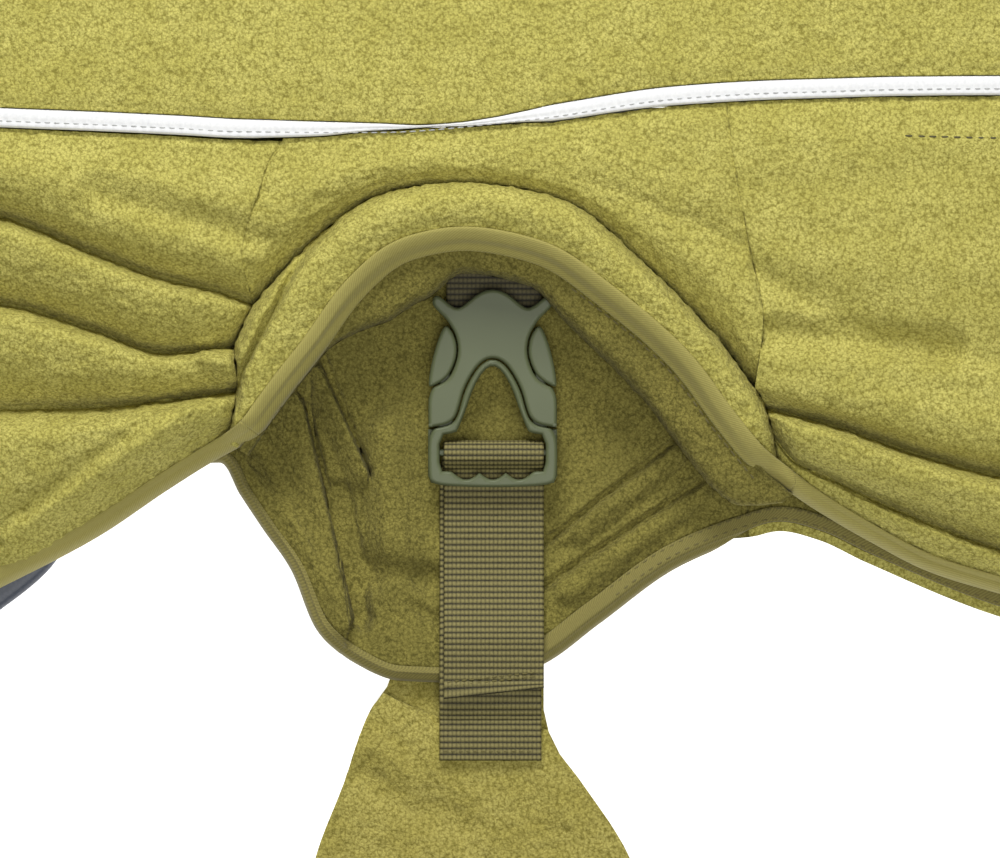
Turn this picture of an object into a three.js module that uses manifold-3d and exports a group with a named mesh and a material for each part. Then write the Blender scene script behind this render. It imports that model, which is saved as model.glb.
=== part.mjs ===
// Dog winter coat of double fleece, lying on its side with its near side up.
// Millimetres. +X runs from neck to hem, +Y towards the spine, +Z up; the underside rests on z = 0.

import * as THREE from 'three';
import { mergeVertices } from 'three/addons/utils/BufferGeometryUtils.js';
import Module from 'manifold-3d';

// Driving dimensions
const HALF_LENGTH = 230;
const FLEECE = 3;
const SEAM_GAP = 0.3;
const LIFT = 0.45;
const EDGE_BAND = 6.3;
const PIPING_WIDTH = 4.7;
const BINDING_HALF = 3;
const BINDING_THICK = 1.2;
const FOLD_RADIUS = 9;
const FAR_PIPING_Y = 86;
const WEBBING_WIDTH = 24.5;
const WEBBING_THICK = 1.5;
const SHELL_CLOTH = 1.5;
const BUCKLE_THICK = 8;
const STEEPEST = 0.45;
const STEEPEST_LOBE = 0.9;

const COLOURS = {
  fleece: 0xa89f54,
  lining: 0x948b49,
  binding: 0xa9a56a,
  piping: 0xeeeef0,
  webbing: 0x6b6440,
  shell: 0x4a4f5a,
  plastic: 0x8a937c,
};

// Reading tables

function smoothCurve(at, values) {
  const steps = values.slice(1).map((value, i) => (value - values[i]) / (at[i + 1] - at[i]));
  const tangents = values.map((_, i) => {
    if (i === 0) return steps[0];
    if (i === steps.length) return steps[i - 1];
    const before = steps[i - 1];
    const after = steps[i];
    return before * after <= 0 ? 0 : (2 * before * after) / (before + after);
  });
  return (x) => {
    let i = 0;
    while (i < at.length - 2 && x > at[i + 1]) i += 1;
    const width = at[i + 1] - at[i];
    const q = THREE.MathUtils.clamp((x - at[i]) / width, 0, 1);
    const rest = 1 - q;
    return values[i] * rest * rest * (1 + 2 * q) + values[i + 1] * q * q * (3 - 2 * q)
      + width * q * rest * (tangents[i] * rest - tangents[i + 1] * q);
  };
}

// Every column becomes a function of the first one
function table(names, rows) {
  const at = rows.map((row) => row[0]);
  return Object.fromEntries(names.map((name, i) => [name, smoothCurve(at, rows.map((row) => row[i]))]));
}

// A table whose first two columns are the points of a path; the others follow the share of its length
function pathTable(names, rows) {
  let run = 0;
  const runs = rows.map((row, i) => {
    if (i > 0) run += Math.hypot(row[0] - rows[i - 1][0], row[1] - rows[i - 1][1]);
    return run;
  });
  return table(['share', ...names], rows.map((row, i) => [runs[i] / run, ...row]));
}

// The point at a share of a path and the direction square to it, to the left of its run
function pathFrame(path, share) {
  const step = 0.002;
  const before = Math.max(0, share - step);
  const after = Math.min(1, share + step);
  const dx = path.x(after) - path.x(before);
  const dy = path.y(after) - path.y(before);
  const long = Math.hypot(dx, dy);
  return { x: path.x(share), y: path.y(share), nx: -dy / long, ny: dx / long };
}

const lerp = THREE.MathUtils.lerp;
const smoothstep = THREE.MathUtils.smoothstep;
const shares = (count) => Array.from({ length: count + 1 }, (_, i) => i / count);
const spread = (from, to, count) => shares(count).map((q) => lerp(from, to, q));

// Closed solids from grids of points

function closedGeometry(points, index) {
  const geometry = new THREE.BufferGeometry();
  const positions = new Float32Array(points.length * 3);
  points.forEach((point, i) => point.toArray(positions, i * 3));
  let volume = 0;
  for (let i = 0; i < index.length; i += 3) {
    const [a, b, c] = [points[index[i]], points[index[i + 1]], points[index[i + 2]]];
    volume += a.dot(new THREE.Vector3().crossVectors(b, c));
  }
  geometry.setAttribute('position', new THREE.BufferAttribute(positions, 3));
  geometry.setIndex(volume < 0 ? [...index].reverse() : index);
  geometry.computeVertexNormals();
  return geometry;
}

function slab(top, bottom) {
  const rows = top.length;
  const columns = top[0].length;
  const layer = rows * columns;
  const index = [];
  const quad = (a, b, c, d) => index.push(a, b, c, a, c, d);
  const id = (r, c) => r * columns + c;
  for (let r = 0; r < rows - 1; r += 1) {
    for (let c = 0; c < columns - 1; c += 1) {
      quad(id(r, c), id(r + 1, c), id(r + 1, c + 1), id(r, c + 1));
      quad(layer + id(r, c), layer + id(r, c + 1), layer + id(r + 1, c + 1), layer + id(r + 1, c));
    }
    const last = columns - 1;
    quad(id(r, 0), layer + id(r, 0), layer + id(r + 1, 0), id(r + 1, 0));
    quad(id(r, last), id(r + 1, last), layer + id(r + 1, last), layer + id(r, last));
  }
  for (let c = 0; c < columns - 1; c += 1) {
    const last = rows - 1;
    quad(id(0, c), id(0, c + 1), layer + id(0, c + 1), layer + id(0, c));
    quad(id(last, c), layer + id(last, c), layer + id(last, c + 1), id(last, c + 1));
  }
  return closedGeometry([...top.flat(), ...bottom.flat()], index);
}

function gridNormal(grid, r, c) {
  const row = (i) => grid[THREE.MathUtils.clamp(i, 0, grid.length - 1)];
  const along = new THREE.Vector3().subVectors(row(r + 1)[c], row(r - 1)[c]);
  const last = grid[0].length - 1;
  const across = new THREE.Vector3().subVectors(grid[r][Math.min(c + 1, last)], grid[r][Math.max(c - 1, 0)]);
  return along.cross(across).normalize();
}

// Cloth under a top surface: the wall's lower face lies straight below, further down where it is steep
function clothWall(top, thickness = FLEECE) {
  const bottom = top.map((row, r) => row.map((point, c) => {
    const upright = Math.abs(gridNormal(top, r, c).z);
    return new THREE.Vector3(point.x, point.y, point.z - thickness / Math.max(upright, STEEPEST));
  }));
  return slab(top, bottom);
}

// Cloth that turns under: each row is a profile in y and z, and the wall lies on its inner side
function wrappedWall(grid, thickness, side) {
  const inner = grid.map((row) => row.map((point, c) => {
    const before = row[Math.max(c - 1, 0)];
    const after = row[Math.min(c + 1, row.length - 1)];
    const dy = after.y - before.y;
    const dz = after.z - before.z;
    const long = Math.hypot(dy, dz);
    return new THREE.Vector3(point.x, point.y + (side * thickness * dz) / long, point.z - (side * thickness * dy) / long);
  }));
  return slab(grid, inner);
}

// Lines of the near side: piping, height of the fold crests, depth of the folds, bound edge and spine
const SIDE = table(['x', 'piping', 'pipingZ', 'crest', 'depth', 'edge', 'spine'], [
  [-230, 92, 17.4, 18.0, 0.25, 9.2, 136],
  [-195, 90, 18.2, 19.5, 0.4, 9.2, 146],
  [-160, 87, 20.5, 23.0, 0.75, 9.6, 151],
  [-125, 85.2, 22.6, 26.0, 1.0, 10.4, 153],
  [-100, 84.2, 23.2, 26.6, 1.0, 11.8, 154],
  [-79, 83.2, 23.6, 27.0, 1.0, 14.0, 155],
  [-66, 82.5, 23.8, 27.0, 0.97, 17.0, 155.5],
  [-31, 82.2, 24.2, 27.0, 0.9, 17.0, 156.5],
  [6, 85.2, 24.2, 27.0, 0.9, 17.0, 157.5],
  [43, 90.5, 24.0, 27.0, 0.9, 17.0, 157.5],
  [66, 92.0, 23.8, 27.0, 0.95, 16.5, 157.5],
  [82, 92.5, 23.5, 26.8, 1.0, 12.0, 157.4],
  [100, 93.0, 23.1, 26.4, 1.0, 10.0, 157],
  [125, 93.2, 22.6, 26.0, 1.0, 9.8, 156],
  [160, 93.2, 20.5, 23.0, 0.8, 9.6, 155],
  [195, 92.5, 18.2, 19.5, 0.5, 9.4, 153],
  [230, 92.0, 17.4, 18.0, 0.3, 9.2, 149],
]);

// The belly arch: centre line of its bound edge, width and heights of the roll, width of the lining lip,
// and depth of the pleat line that parts the roll on its left side
const ARCH = pathTable(['x', 'y', 'width', 'crest', 'groove', 'edge', 'lip', 'pleat'], [
  [-65.5, 2.5, 3.2, 21.5, 18.5, 20.0, 3, 0],
  [-58.4, 12.9, 9.0, 26.0, 16.5, 23.0, 4, 2.5],
  [-53.6, 19.4, 15.5, 28.0, 15.5, 24.5, 4.5, 4.5],
  [-46.9, 27.8, 17.7, 29.0, 16.0, 25.0, 5, 5],
  [-35.6, 43.1, 15.6, 30.0, 19.0, 26.0, 8, 3],
  [-23.3, 52.4, 15.0, 31.0, 22.0, 26.5, 11, 0],
  [-9.0, 55.0, 14.0, 31.0, 23.0, 26.5, 12, 0],
  [9.0, 51.8, 14.4, 31.0, 22.5, 26.5, 13, 0],
  [27.0, 40.2, 12.6, 30.5, 20.0, 26.5, 13, 0],
  [45.5, 24.0, 10.8, 29.0, 18.0, 26.0, 14, 0],
  [56.0, 10.0, 10.8, 27.0, 16.5, 24.5, 14, 0],
  [62.0, 2.6, 7.8, 25.0, 16.5, 23.0, 13, 0],
  [66.8, -3.2, 3.2, 21.5, 17.5, 20.5, 8, 0],
]);
const ARCH_MEETS = { frontFoldB: 0.11, frontFoldC: 0.065, leftSeam: 0.172, rightSeam: 0.895, rearFoldC: 0.965 };
const ROLL_TOP = 0.62;
const PLEAT_LINE = 0.56;
const PLEAT_HALF = 0.07;
const LIP_Z = 15.6;

// Fall of the lining lip from the edge: a crease under the binding, a soft bulge, and a turned end
const LIP_FALL = smoothCurve([0, 0.06, 0.16, 0.5, 0.8, 0.92, 1], [0, 0.1, 0.28, 0.34, 0.44, 0.6, 1]);

// Height of the roll, and of the lining inside the edge, at a distance outward from the edge line
function archHeight(share, out) {
  const crest = ARCH.crest(share);
  const edge = ARCH.edge(share);
  if (out < 0) {
    return edge - (edge - LIP_Z) * LIP_FALL(-out / ARCH.lip(share));
  }
  const q = out / ARCH.width(share);
  const pleat = ARCH.pleat(share) * Math.exp(-(((q - PLEAT_LINE) / PLEAT_HALF) ** 2));
  if (q <= ROLL_TOP) return lerp(edge, crest, Math.sin((Math.PI / 2) * (q / ROLL_TOP))) - pleat;
  const beyond = Math.min(1, (q - ROLL_TOP) / (1 - ROLL_TOP));
  return lerp(ARCH.groove(share), crest, Math.sqrt(1 - beyond * beyond * 0.995)) - pleat;
}

function archPoint(share, out, z) {
  const frame = pathFrame(ARCH, share);
  return new THREE.Vector3(frame.x + frame.nx * out, frame.y + frame.ny * out, z);
}

const contourPoint = (share) => archPoint(share, ARCH.width(share) + 0.6, ARCH.groove(share));

// Near side panels: rails run from neck to hem along the folds, and a lobe of cloth lies between two rails
const FRONT_RAILS = table(['x', 'foldA', 'foldB', 'foldC', 'edge'], [
  [-230, 66, 38, 8, -58],
  [-195, 68, 41, 9, -58],
  [-160, 67, 42, 11, -46],
  [-125, 60.7, 39, 12.7, -29.4],
  [-102, 51.5, 32.5, 12.7, -18],
  [-84, 44.6, 26.9, 13.7, -7],
  [-70, 41, 28.5, 14.8, 0],
  [-60, 37, 29.5, 15.5, 3],
]);
const REAR_RAILS = table(['x', 'foldA', 'foldB', 'foldC', 'edge'], [
  [60, 34.5, 10, -2, -5],
  [68, 33, 9.2, -5, -8],
  [74, 32, 8.3, -9.7, -12.4],
  [82, 30.3, 7, -11, -16],
  [95, 28, 3.3, -14.5, -21.5],
  [108, 26, -0.5, -18.3, -27],
  [125, 24, -4.5, -23.5, -31.5],
  [160, 22, -9, -31, -40],
  [195, 21, -12, -36, -46],
  [230, 21, -13, -40, -50],
]);

const SEAM_LEFT = table(['share', 'x', 'y'], [
  [0, -54, 79.3],
  [0.12, -57.5, 74.5],
  [0.3, -60, 67],
  [0.5, -62.8, 59],
  [0.7, -64.3, 51],
  [1, contourPoint(ARCH_MEETS.leftSeam).x, contourPoint(ARCH_MEETS.leftSeam).y],
]);
const SEAM_RIGHT = table(['share', 'x', 'y'], [
  [0, 56.5, 88.9],
  [0.2, 58.3, 74.5],
  [0.5, 62.5, 52],
  [0.75, 65.6, 35],
  [1, contourPoint(ARCH_MEETS.rightSeam).x, contourPoint(ARCH_MEETS.rightSeam).y],
]);

// One lobe's height between two rails: flat brow, crisp lobe with a steep riser, soft crease
const BROW = smoothCurve([0, 0.25, 0.5, 0.75, 0.9, 1], [0, 0.75, 1, 0.86, 0.5, 0]);
const LOBE = smoothCurve([0, 0.05, 0.12, 0.22, 0.45, 0.7, 0.88, 1], [0, 0.55, 0.9, 1, 0.92, 0.7, 0.38, 0]);
const SOFT = smoothCurve([0, 0.2, 0.5, 0.8, 1], [0, 0.8, 1, 0.8, 0]);
const HEM_LOBE = smoothCurve([0, 0.08, 0.2, 0.45, 0.7, 0.88, 1], [0, 0.7, 1, 0.84, 0.46, 0.17, 0]);

const FRONT = {
  rails: FRONT_RAILS,
  depths: [null, 13, 14, 14],
  lobes: [BROW, LOBE, LOBE, HEM_LOBE],
};
const REAR = {
  rails: REAR_RAILS,
  depths: [null, 2.2, 13, 12],
  lobes: [SOFT, SOFT, LOBE, HEM_LOBE],
};

const PIPING_SIDE = PIPING_WIDTH / 2 + SEAM_GAP;

function railY(panel, x, rail) {
  if (rail === 0) return SIDE.piping(x) - PIPING_SIDE;
  return panel.rails[['foldA', 'foldB', 'foldC', 'edge'][rail - 1]](x);
}

function railZ(panel, x, rail) {
  if (rail === 0) return SIDE.pipingZ(x);
  if (rail === 4) return SIDE.edge(x);
  return SIDE.crest(x) - panel.depths[rail] * SIDE.depth(x);
}

// Height of a lobed panel at a place between rails: 0 at the piping, 4 at the bound edge
function lobeHeight(panel, x, place) {
  const rail = Math.min(3, Math.floor(place));
  const q = place - rail;
  const floor = lerp(railZ(panel, x, rail), railZ(panel, x, rail + 1), q);
  const width = Math.abs(railY(panel, x, rail) - railY(panel, x, rail + 1));
  return floor + Math.min(SIDE.crest(x) - floor, STEEPEST_LOBE * width) * panel.lobes[rail](q);
}

function lobeY(panel, x, place) {
  const rail = Math.min(3, Math.floor(place));
  return lerp(railY(panel, x, rail), railY(panel, x, rail + 1), place - rail);
}

// The edge that a lobed panel shares with the middle panel and the roll
const FRONT_BORDER = smoothCurve([1, 2, 3, 4],
  [ARCH_MEETS.leftSeam, ARCH_MEETS.frontFoldB, ARCH_MEETS.frontFoldC, 0]);
const REAR_BORDER = smoothCurve([2, 3, 4], [ARCH_MEETS.rightSeam, ARCH_MEETS.rearFoldC, 1]);

function frontBorder(place) {
  const point = place < 1
    ? new THREE.Vector3(SEAM_LEFT.x(place), SEAM_LEFT.y(place), 0)
    : contourPoint(FRONT_BORDER(place));
  point.x -= SEAM_GAP * 0.5;
  return point;
}

function rearBorder(place) {
  const point = place < 2
    ? new THREE.Vector3(SEAM_RIGHT.x(place / 2), SEAM_RIGHT.y(place / 2), 0)
    : contourPoint(REAR_BORDER(place));
  point.x += SEAM_GAP * 0.5;
  return point;
}

// A point of a lobed panel: run is 0 at the garment's end and 1 at the arch
function lobedPoint(panel, endX, border, run, place) {
  const x = lerp(endX, border.x, run);
  const pull = run ** 6;
  const y = lobeY(panel, x, place) + (border.y - lobeY(panel, border.x, place)) * pull;
  const rounding = 2.5 * Math.max(0, (run - 0.95) / 0.05) ** 2;
  return new THREE.Vector3(x, y, lobeHeight(panel, x, place) - rounding);
}

const PANEL_END = HALF_LENGTH - EDGE_BAND;
const frontPoint = (run, place) => lobedPoint(FRONT, -PANEL_END, frontBorder(place), run, place);
const rearPoint = (run, place) => lobedPoint(REAR, PANEL_END, rearBorder(place), run, place);

const LOBE_STEPS = [0, 0.05, 0.12, 0.22, 0.45, 0.7, 0.88];
const BROW_STEPS = [0, 0.15, 0.3, 0.45, 0.6, 0.75, 0.85, 0.93];
const PLACES = [...BROW_STEPS, ...[1, 2, 3].flatMap((rail) => LOBE_STEPS.map((q) => rail + q)), 4];
const RUNS = [0, 0.1, 0.2, 0.3, 0.4, 0.5, 0.58, 0.65, 0.72, 0.78, 0.84, 0.9, 0.95, 0.98, 1];

function lobedPanel(pointAt) {
  return clothWall(PLACES.map((place) => RUNS.map((run) => pointAt(run, place))));
}

// Bound edge of a lobed panel: a knitted strip over the last of the cloth, and a bead beyond its cut edge
function placeAbove(pointAt, run, distance) {
  const edge = pointAt(run, 4);
  let place = 4;
  while (place > 2.05 && pointAt(run, place).distanceTo(edge) < distance) place -= 0.02;
  return place;
}

const BEAD = table(['out', 'over', 'under'], [
  [SEAM_GAP + 0.05, 1.5, -3.6],
  [1.3, 1.1, -3.8],
  [2.2, -0.1, -3.4],
  [2.7, -1.6, -2.2],
]);
const BEAD_STEPS = [SEAM_GAP + 0.05, 1.3, 2.2, 2.7];

function boundEdge(pointAt, runs, outward) {
  const top = [];
  const bottom = [];
  for (const run of runs) {
    const edge = pointAt(run, 4);
    const before = pointAt(Math.max(run - 0.01, 0), 4);
    const after = pointAt(Math.min(run + 0.01, 1), 4);
    const along = new THREE.Vector3().subVectors(after, before).setZ(0).normalize();
    const away = new THREE.Vector3(along.y * outward, -along.x * outward, 0);
    const strip = [3, 1.5, 0].map((distance) => pointAt(run, placeAbove(pointAt, run, distance)));
    const over = strip.map((point, i) => point.clone().setZ(point.z + LIFT + (i === 0 ? 0.6 : BINDING_THICK)));
    const under = strip.map((point) => point.clone().setZ(point.z + LIFT));
    BEAD_STEPS.forEach((out) => {
      const point = edge.clone().addScaledVector(away, out);
      over.push(point.clone().setZ(edge.z + BEAD.over(out)));
      under.push(point.clone().setZ(edge.z + BEAD.under(out)));
    });
    top.push(over);
    bottom.push(under);
  }
  return slab(top, bottom);
}

// Middle panel over the arch: a patch between the piping, the two seams and the roll
function middlePoint(u, v) {
  const inset = SEAM_GAP * 0.5 + 0.15;
  const topX = lerp(SEAM_LEFT.x(0), SEAM_RIGHT.x(0), u);
  const topY = SIDE.piping(topX) - PIPING_SIDE;
  const low = contourPoint(lerp(ARCH_MEETS.leftSeam, ARCH_MEETS.rightSeam, u));
  const left = [SEAM_LEFT.x(v) + inset, SEAM_LEFT.y(v)];
  const right = [SEAM_RIGHT.x(v) - inset, SEAM_RIGHT.y(v)];
  const corners = [[left[0], right[0]], [left[1], right[1]]];
  const place = [topX, topY].map((top, axis) => {
    const rows = lerp(top, axis ? low.y : low.x, v);
    const columns = lerp(corners[axis][0], corners[axis][1], u);
    const ends = axis
      ? [[SEAM_LEFT.y(0), SEAM_RIGHT.y(0)], [SEAM_LEFT.y(1), SEAM_RIGHT.y(1)]]
      : [[SEAM_LEFT.x(0), SEAM_RIGHT.x(0)], [SEAM_LEFT.x(1), SEAM_RIGHT.x(1)]];
    return rows + columns - lerp(lerp(ends[0][0], ends[0][1], u), lerp(ends[1][0], ends[1][1], u), v);
  });
  const x = THREE.MathUtils.clamp(place[0], -66, 68);
  const groove = ARCH.groove(lerp(ARCH_MEETS.leftSeam, ARCH_MEETS.rightSeam, u));
  const centre = lerp(SIDE.pipingZ(x) + 2.2 * Math.sin(Math.PI * Math.min(1, v * 1.1)), groove, smoothstep(v, 0.72, 1));
  const leftShare = (1 - u) ** 4;
  const rightShare = u ** 4;
  const z = centre * (1 - leftShare - rightShare)
    + lobeHeight(FRONT, x, v) * leftShare + lobeHeight(REAR, x, v * 2) * rightShare;
  return new THREE.Vector3(place[0], place[1], z);
}

function middlePanel() {
  const across = [0, 0.05, ...spread(0.12, 0.88, 12), 0.95, 1];
  const down = [...BROW_STEPS, 1];
  return clothWall(down.map((v) => across.map((u) => middlePoint(u, v))));
}

// Rolled edge of the arch, lining lip and binding, swept along the arch
const ARCH_STATIONS = spread(0, 1, 38);
const ROLL_STEPS = [0.35, 0.47, 0.56, 0.65, 0.8, 0.92, 1];

function archRoll() {
  return clothWall(ARCH_STATIONS.map((share) => {
    const width = ARCH.width(share);
    const outs = [0.4, 0.2 * width, ...ROLL_STEPS.map((q) => q * width)];
    return outs.map((out) => archPoint(share, out, archHeight(share, out)));
  }));
}

function archLining() {
  return clothWall(ARCH_STATIONS.map((share) => {
    const lip = ARCH.lip(share);
    return [0.97, 0.9, 0.75, 0.5, 0.2, 0.4 / lip].map((q) => (
      archPoint(share, -q * lip, archHeight(share, -q * lip) - 0.4)));
  }), 2.2);
}

function archBinding() {
  const outs = [-BINDING_HALF, -2, 0, 2, BINDING_HALF];
  const top = [];
  const bottom = [];
  for (const share of spread(0.012, 0.985, 37)) {
    const half = Math.min(BINDING_HALF, ARCH.width(share) * 0.8);
    const places = outs.map((out) => (out * half) / BINDING_HALF);
    const under = places.map((out) => archPoint(share, out, archHeight(share, out) + LIFT));
    const thick = places.map((_, i) => (i === 0 || i === 4 ? 0.6 : BINDING_THICK + 0.3));
    top.push(under.map((point, i) => point.clone().setZ(point.z + thick[i])));
    bottom.push(under);
  }
  return slab(top, bottom);
}

const GARMENT_STATIONS = spread(-PANEL_END, PANEL_END, 20);

// Spine: one panel from the near piping, round the back fold, to the far piping
function backProfile(x) {
  const spine = SIDE.spine(x);
  const start = SIDE.piping(x) + PIPING_SIDE;
  const turn = spine - FOLD_RADIUS;
  const points = shares(6).map((q) => [
    lerp(start, turn, q),
    lerp(SIDE.pipingZ(x), 2 * FOLD_RADIUS, smoothstep(q, 0, 1)),
  ]);
  for (const angle of spread(Math.PI / 2, -Math.PI / 2, 8).slice(1)) {
    points.push([turn + FOLD_RADIUS * Math.cos(angle), FOLD_RADIUS + FOLD_RADIUS * Math.sin(angle)]);
  }
  points.push([lerp(turn, FAR_PIPING_Y, 0.5), 0], [FAR_PIPING_Y + PIPING_SIDE, 0]);
  return points.map(([y, z]) => new THREE.Vector3(x, y, z));
}

function backPanel() {
  return wrappedWall(GARMENT_STATIONS.map(backProfile), FLEECE, 1);
}

function nearPiping() {
  const places = [-PIPING_WIDTH / 2, 0, PIPING_WIDTH / 2];
  const top = GARMENT_STATIONS.map((x) => places.map((side, i) => (
    new THREE.Vector3(x, SIDE.piping(x) + side, SIDE.pipingZ(x) + (i === 1 ? 0.9 : 0.5)))));
  const bottom = top.map((row) => row.map((point) => point.clone().setZ(SIDE.pipingZ(point.x) - FLEECE)));
  return slab(top, bottom);
}

function farPiping() {
  const half = PIPING_WIDTH / 2;
  const corners = [-PANEL_END, 0, PANEL_END].map((x) => [-half, half].map((side) => (
    new THREE.Vector3(x, FAR_PIPING_Y + side, FLEECE))));
  return slab(corners, corners.map((row) => row.map((point) => point.clone().setZ(0))));
}

// Far side: outline of its lower edge, how far the edge is lifted, and where its threads meet the piping
const FAR_EDGE = pathTable(['x', 'y', 'lift', 'topX'], [
  [-PANEL_END, -52, 0, -PANEL_END],
  [-195, -53, 0, -195],
  [-160, -41.5, 0, -162],
  [-125, -25, 0, -132],
  [-100, -13, 0, -112],
  [-80, -1.5, 0.5, -98],
  [-70.5, -1, 2.5, -91],
  [-65.3, -9, 4.5, -84],
  [-59.5, -17.7, 5.2, -77],
  [-52.5, -27.8, 5, -70],
  [-45.8, -43.2, 4.2, -62],
  [-36.2, -51.5, 3.5, -54],
  [-25.5, -55.7, 3.5, -42],
  [-12, -56.2, 3.5, -24],
  [2, -55, 3.5, -3],
  [11.2, -51.5, 3.5, 10],
  [25, -41.5, 1.6, 26],
  [45, -27.2, 0, 44],
  [65, -19.5, 0, 58],
  [78, -19.3, 0, 70],
  [92, -26, 0, 88],
  [125, -39.5, 0, 124],
  [160, -48.5, 0, 160],
  [195, -54, 0, 195],
  [PANEL_END, -57, 0, PANEL_END],
]);
const FAR_INSET = 2.6;

// Folds pressed into the far side: a crest line, its height, and how far it reaches to the left and right of its run
const FAR_FOLDS = [
  { from: [-52.5, 14], to: [-41.5, -33], height: 5.5, left: 3.5, right: 10 },
  { from: [-46, 22], to: [-34, -4], height: 3.4, left: 3, right: 6 },
  { from: [-30, 6], to: [-26, -26], height: 3, left: 10, right: 7 },
  { from: [20, -18], to: [44, 1], height: 2.6, left: 8, right: 5 },
  { from: [18, -33], to: [50, -9], height: 2.4, left: 7, right: 5 },
];

function farFolds(x, y) {
  return FAR_FOLDS.reduce((sum, fold) => {
    const dx = fold.to[0] - fold.from[0];
    const dy = fold.to[1] - fold.from[1];
    const q = ((x - fold.from[0]) * dx + (y - fold.from[1]) * dy) / (dx * dx + dy * dy);
    const nearest = THREE.MathUtils.clamp(q, 0, 1);
    const offX = x - fold.from[0] - dx * nearest;
    const offY = y - fold.from[1] - dy * nearest;
    const reach = dx * offY - dy * offX > 0 ? fold.left : fold.right;
    const away = Math.hypot(offX, offY) / reach;
    return sum + fold.height * (away < 1 ? (1 - away * away) ** 2 : 0);
  }, 0);
}

function farEdgePoint(share, inset) {
  const frame = pathFrame(FAR_EDGE, share);
  return [frame.x + frame.nx * inset, frame.y + frame.ny * inset];
}

function farHeight(share, v, x, y) {
  return FLEECE + FAR_EDGE.lift(share) * smoothstep(v, 0.8, 0.93) + farFolds(x, y);
}

function farPoint(share, v) {
  const [edgeX, edgeY] = farEdgePoint(share, FAR_INSET);
  const x = lerp(FAR_EDGE.topX(share), edgeX, v);
  const y = lerp(FAR_PIPING_Y - PIPING_SIDE, edgeY, v);
  return new THREE.Vector3(x, y, farHeight(share, v, x, y));
}

// Seams of the far side as shares of its edge path, and half the gap at each
const FAR_SEAMS = { left: 0.4395, right: 0.668, side: 0.0006 };
const FAR_BOUND = [...spread(0.262, 0.6, 34), ...spread(0.6, 0.999, 14).slice(1)];

function farPanel(from, to, downs) {
  const unbound = spread(0, 0.25, 4).slice(1);
  const between = [...unbound, ...FAR_BOUND].filter((share) => share > from + 0.002 && share < to - 0.002);
  const top = downs.map((v) => [from, ...between, to].map((share) => farPoint(share, v)));
  const bottom = top.map((row) => row.map((point) => point.clone().setZ(Math.max(0, point.z - FLEECE))));
  return slab(top, bottom);
}

const FAR_DOWNS = [0, 0.3, 0.5, 0.6, 0.68, 0.75, 0.81, 0.87, 0.91, 0.955, 1];

function farLowerBinding() {
  const columns = [
    { inset: 0, over: -1.4, under: -2.1 },
    { inset: 0.8, over: 0.6, under: -2.7 },
    { inset: FAR_INSET - 0.41, over: 1.5, under: -2.7 },
    { inset: FAR_INSET - 0.4, over: 1.9, under: 1.1 },
    { inset: 4.2, over: 1.9, under: 1.1 },
    { inset: 6.2, over: 1.3, under: 1.1 },
  ];
  const surface = (share, inset) => {
    const [x, y] = farEdgePoint(share, inset);
    const [edgeX, edgeY] = farEdgePoint(share, FAR_INSET);
    const span = Math.hypot(FAR_EDGE.topX(share) - edgeX, FAR_PIPING_Y - PIPING_SIDE - edgeY);
    const v = Math.min(1, 1 - (inset - FAR_INSET) / span);
    const [foldX, foldY] = inset < FAR_INSET ? [edgeX, edgeY] : [x, y];
    return new THREE.Vector3(x, y, farHeight(share, v, foldX, foldY));
  };
  const at = (key) => FAR_BOUND.map((share) => columns.map((column) => {
    const point = surface(share, column.inset);
    return point.setZ(point.z + column[key]);
  }));
  return slab(at('over'), at('under'));
}

// Chest panel of smooth shell cloth, folded under the near front edge
const CHEST = table(['x', 'fold'], [
  [-PANEL_END, -66],
  [-195, -72],
  [-160, -58],
  [-136, -45],
  [-125, -37.5],
  [-114, -28.5],
]);

const CHEST_END = 0.2445;

function chestPanel() {
  return wrappedWall(spread(0.0005, CHEST_END, 11).map((share) => {
    const [x, seamY] = farEdgePoint(share, FAR_INSET - SEAM_GAP - 0.1);
    const high = SIDE.edge(x) - 5.2;
    const radius = high / 2;
    const turn = CHEST.fold(x) + radius;
    const points = [[FRONT_RAILS.edge(x) + 3.5, high], [turn + 1, high]];
    for (const angle of spread(Math.PI / 2, Math.PI * 1.5, 6).slice(1)) {
      points.push([turn + radius * Math.cos(angle), radius + radius * Math.sin(angle)]);
    }
    points.push([seamY, 0]);
    return points.map(([y, z]) => new THREE.Vector3(x, y, z));
  }), SHELL_CLOTH, -1);
}

// Binding round the open ends: the whole section of the coat there, a strip long
function endBinding(side) {
  const pointAt = side < 0 ? frontPoint : rearPoint;
  const x = side * PANEL_END;
  const places = PLACES.filter((_, i) => i % 2 === 0 || i === PLACES.length - 1);
  const near = places.map((place) => pointAt(0, place)).reverse();
  const far = shares(3).map((q) => new THREE.Vector3(x, lerp(FAR_PIPING_Y, FAR_EDGE.y(side < 0 ? 0 : 1) + 1, q), 0));
  const profile = [...near, ...backProfile(x), ...far];
  const rows = [SEAM_GAP, EDGE_BAND].map((out) => profile.map((point) => (
    new THREE.Vector3(x + side * out, point.y, point.z))));
  return wrappedWall(rows, FLEECE, 1);
}

// Belly band: a fleece tab from under the far edge, folded back on itself, with the strap on top
const BAND = table(['y', 'left', 'right'], [
  [-157.5, -50, 40],
  [-140, -52, 42],
  [-120, -51, 40],
  [-99, -46, 32],
  [-80, -38.7, 19.5],
  [-71.5, -36, 13.4],
  [-63, -32.5, 11],
  [-57.5, -28.5, 11],
  [-44, -24, 9],
]);
const BAND_FOLD = 3.3;

function bandTopEnd(q) {
  return lerp(-58.8, -68, Math.min(1, q * 1.6));
}

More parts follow.
